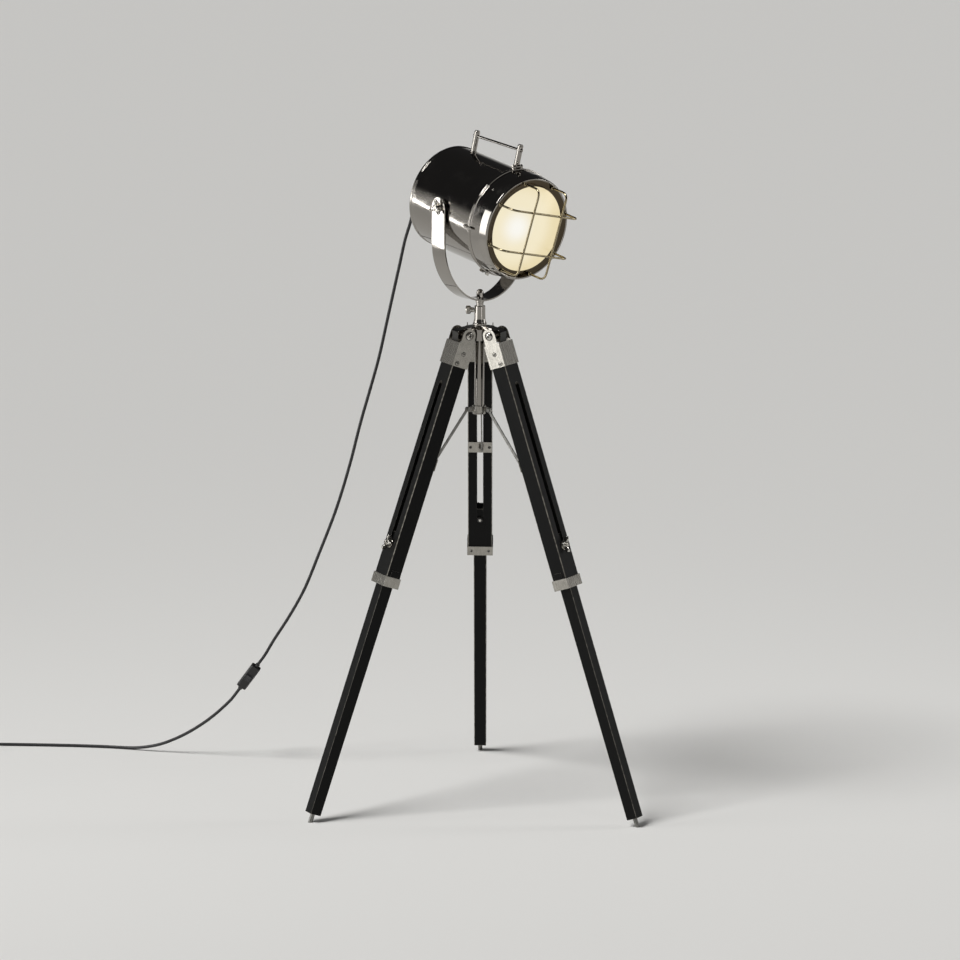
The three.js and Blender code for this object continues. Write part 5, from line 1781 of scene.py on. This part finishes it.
    def switch(self, places: Places) -> tuple[bpy.types.Object, bpy.types.Object]:
        """Builds the switch on the cord.

        Args:
            places: the frames.

        Returns:
            The body and the rocker.
        """
        case = self.switch_frame()
        own = places.floor @ Matrix.Translation(case.translation * MM) @ case.to_3x3().to_4x4()
        body = Shape(own).copy_of("switch_body", 1.1, 3)
        for z in self.switch_screws:
            add_screw(body, *self.switch_screw, shift(0, self.switch_back, z), round_x(180))
        shown = body.show("switch_case", "yoke", ABS, RECESS, stands_for=["switch_body"])
        rocker = Shape(own).copy_of("switch_rocker", 0.35, 2, 50)
        return shown, rocker.show("rocker_cap", "rocker", ROCKER, stands_for=["switch_rocker"])

    def plug(self, places: Places, end: Vector) -> bpy.types.Object:
        """Builds the plug, with bright pins.

        Args:
            places: the frames.
            end: the cord's end.

        Returns:
            The plug.
        """
        own = places.floor @ Matrix.Translation(end * MM) @ round_x(90)
        body = Shape(own).copy_of("plug", 0.9, 3, 40)
        for face in body.parts.faces:
            if face.calc_center_median().z > self.pins_start:
                face.material_index = 1
        return body.show("plug_body", "yoke", ABS, BOLT, stands_for=["plug"])


@dataclass
class Studio:
    """Pale floor, soft lamps, a plain world and the camera at the photograph's angle.

    Lengths are in metres, but the sensor's is in millimetres.
    """

    floor_colour: str = "#DEDDDA"
    floor_size: float = 60
    distance: float = 10.29
    height: float = 2.9335
    azimuth: float = 1.26
    # Pitch and roll are in radians
    pitch: float = 0.211
    roll: float = 0.008
    offset_px: float = 1.5
    focal_px: float = 4768.8
    frame_px: float = 960
    sensor: float = 36
    far: float = 300
    key: float = 2.9
    key_angle: float = 24
    key_way: tuple[float, float, float] = (0.5, 0.32, -0.9)
    lamp_aim: tuple[float, float, float] = (0, -0.1, 1.2)
    lamp_spread: float = 100
    sky: float = 0.75
    sky_low: str = "#D9D8D5"
    sky_high: str = "#343435"
    sky_rise: float = 0.3

    def build(self, places: Places) -> None:
        """Builds the studio.

        Args:
            places: the frames.
        """
        self.floor()
        self.lamps()
        self.world()
        self.camera(places)
        bpy.context.scene.view_settings.view_transform = "Standard"

    def floor(self) -> None:
        """Lays the floor."""
        part = bmesh.new()
        bmesh.ops.create_grid(part, x_segments=1, y_segments=1, size=self.floor_size)
        mesh = bpy.data.meshes.new("studio_floor")
        part.to_mesh(mesh)
        part.free()
        floor = bpy.data.objects.new("studio_floor", mesh)
        bpy.context.scene.collection.objects.link(floor)
        # Rolled matt emulsion: pale grey without reflections, so that it shows only the shadow
        paint = bpy.data.materials.new("matt_floor_paint")
        paint.use_nodes = True
        shader = paint.node_tree.nodes["Principled BSDF"]
        shader.inputs["Base Color"].default_value = linear(self.floor_colour)
        shader.inputs["Roughness"].default_value = 0.7
        shader.inputs["Specular IOR Level"].default_value = 0.2
        mesh.materials.append(paint)

    def lamps(self) -> None:
        """Hangs a wide distant key lamp, and two soft boxes and three strips that the nickel reflects."""
        key = bpy.data.lights.new("key_lamp", "SUN")
        key.energy = self.key
        key.angle = math.radians(self.key_angle)
        sun = bpy.data.objects.new("key_lamp", key)
        sun.rotation_mode = "QUATERNION"
        sun.rotation_quaternion = Vector(self.key_way).to_track_quat("-Z", "Y")
        bpy.context.scene.collection.objects.link(sun)
        aim = Vector(self.lamp_aim)
        boxes = (
            ("strap_strip", (-3.6, 0.5, 1.25), (0.1, 1.9), 1.6),
            ("left_soft_box", (-3.6, -0.95, 1.75), (1.3, 2.7), 12),
            ("right_soft_box", (3.2, 0.4, 1.9), (0.5, 2.2), 5.4),
            ("left_strip", (-3.3, -2.0, 1.0), (0.45, 1.7), 3.5),
            ("right_strip", (2.6, -3.2, 1.2), (0.2, 1.7), 1.9),
        )
        for name, at, size, power in boxes:
            lamp = bpy.data.lights.new(name, "AREA")
            lamp.shape = "RECTANGLE"
            lamp.size, lamp.size_y = size
            lamp.energy = power
            lamp.spread = math.radians(self.lamp_spread)
            holder = bpy.data.objects.new(name, lamp)
            holder.location = at
            holder.rotation_mode = "QUATERNION"
            holder.rotation_quaternion = (aim - Vector(at)).to_track_quat("-Z", "Y")
            bpy.context.scene.collection.objects.link(holder)

    def world(self) -> None:
        """Makes a world that is pale at the horizon and grey above it."""
        world = bpy.data.worlds.new("studio")
        bpy.context.scene.world = world
        world.use_nodes = True
        tree = world.node_tree
        back = tree.nodes["Background"]
        coords = add_node(tree, "ShaderNodeTexCoord").outputs["Generated"]
        height = add_node(tree, "ShaderNodeSeparateXYZ", {0: coords}).outputs["Z"]
        low = add_node(tree, "ShaderNodeMapRange", {
            "Value": height, "From Min": 0, "From Max": self.sky_rise,
        }, interpolation_type="SMOOTHSTEP")
        colour = add_node(tree, "ShaderNodeMix", {
            SHARE: low.outputs[0], FIRST: linear(self.sky_low), SECOND: linear(self.sky_high),
        }, data_type="RGBA")
        tree.links.new(colour.outputs[MIXED], back.inputs["Color"])
        back.inputs["Strength"].default_value = self.sky

    def camera(self, places: Places) -> None:
        """Sets the camera.

        Args:
            places: the frames.
        """
        turn = math.radians(self.azimuth)
        right = Vector((math.cos(turn), math.sin(turn), 0))
        level = Vector((-math.sin(turn), math.cos(turn), 0))
        up = math.sin(self.pitch) * level + math.cos(self.pitch) * Vector((0, 0, 1))
        x = math.cos(self.roll) * right + math.sin(self.roll) * up
        y = math.cos(self.roll) * up - math.sin(self.roll) * right
        at = places.floor.translation - self.distance * level + Vector((0, 0, self.height))
        lens = bpy.data.cameras.new("camera")
        lens.sensor_width = self.sensor
        lens.sensor_fit = "HORIZONTAL"
        lens.lens = self.focal_px / self.frame_px * self.sensor
        lens.shift_x = self.offset_px / self.frame_px
        lens.clip_end = self.far
        camera = bpy.data.objects.new("camera", lens)
        camera.matrix_world = Places.frame_of(at, x, y)
        bpy.context.scene.collection.objects.link(camera)
        bpy.context.scene.camera = camera


def main() -> None:
    """Builds the scene: camera and cord first, then the sub-assemblies from the floor up."""
    logging.basicConfig(level=logging.INFO, format="%(message)s")
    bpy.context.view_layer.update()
    places = Places()
    Studio().build(places)
    Cord().build(places)
    TripodTop().build(places)
    for leg in Leg:
        LegSet(leg).build(places)
    for part in (Yoke(), HeadShell(), Handle(), Inside(), Bezel(), Clip()):
        part.build(places)


if __name__ == "__main__":
    main()
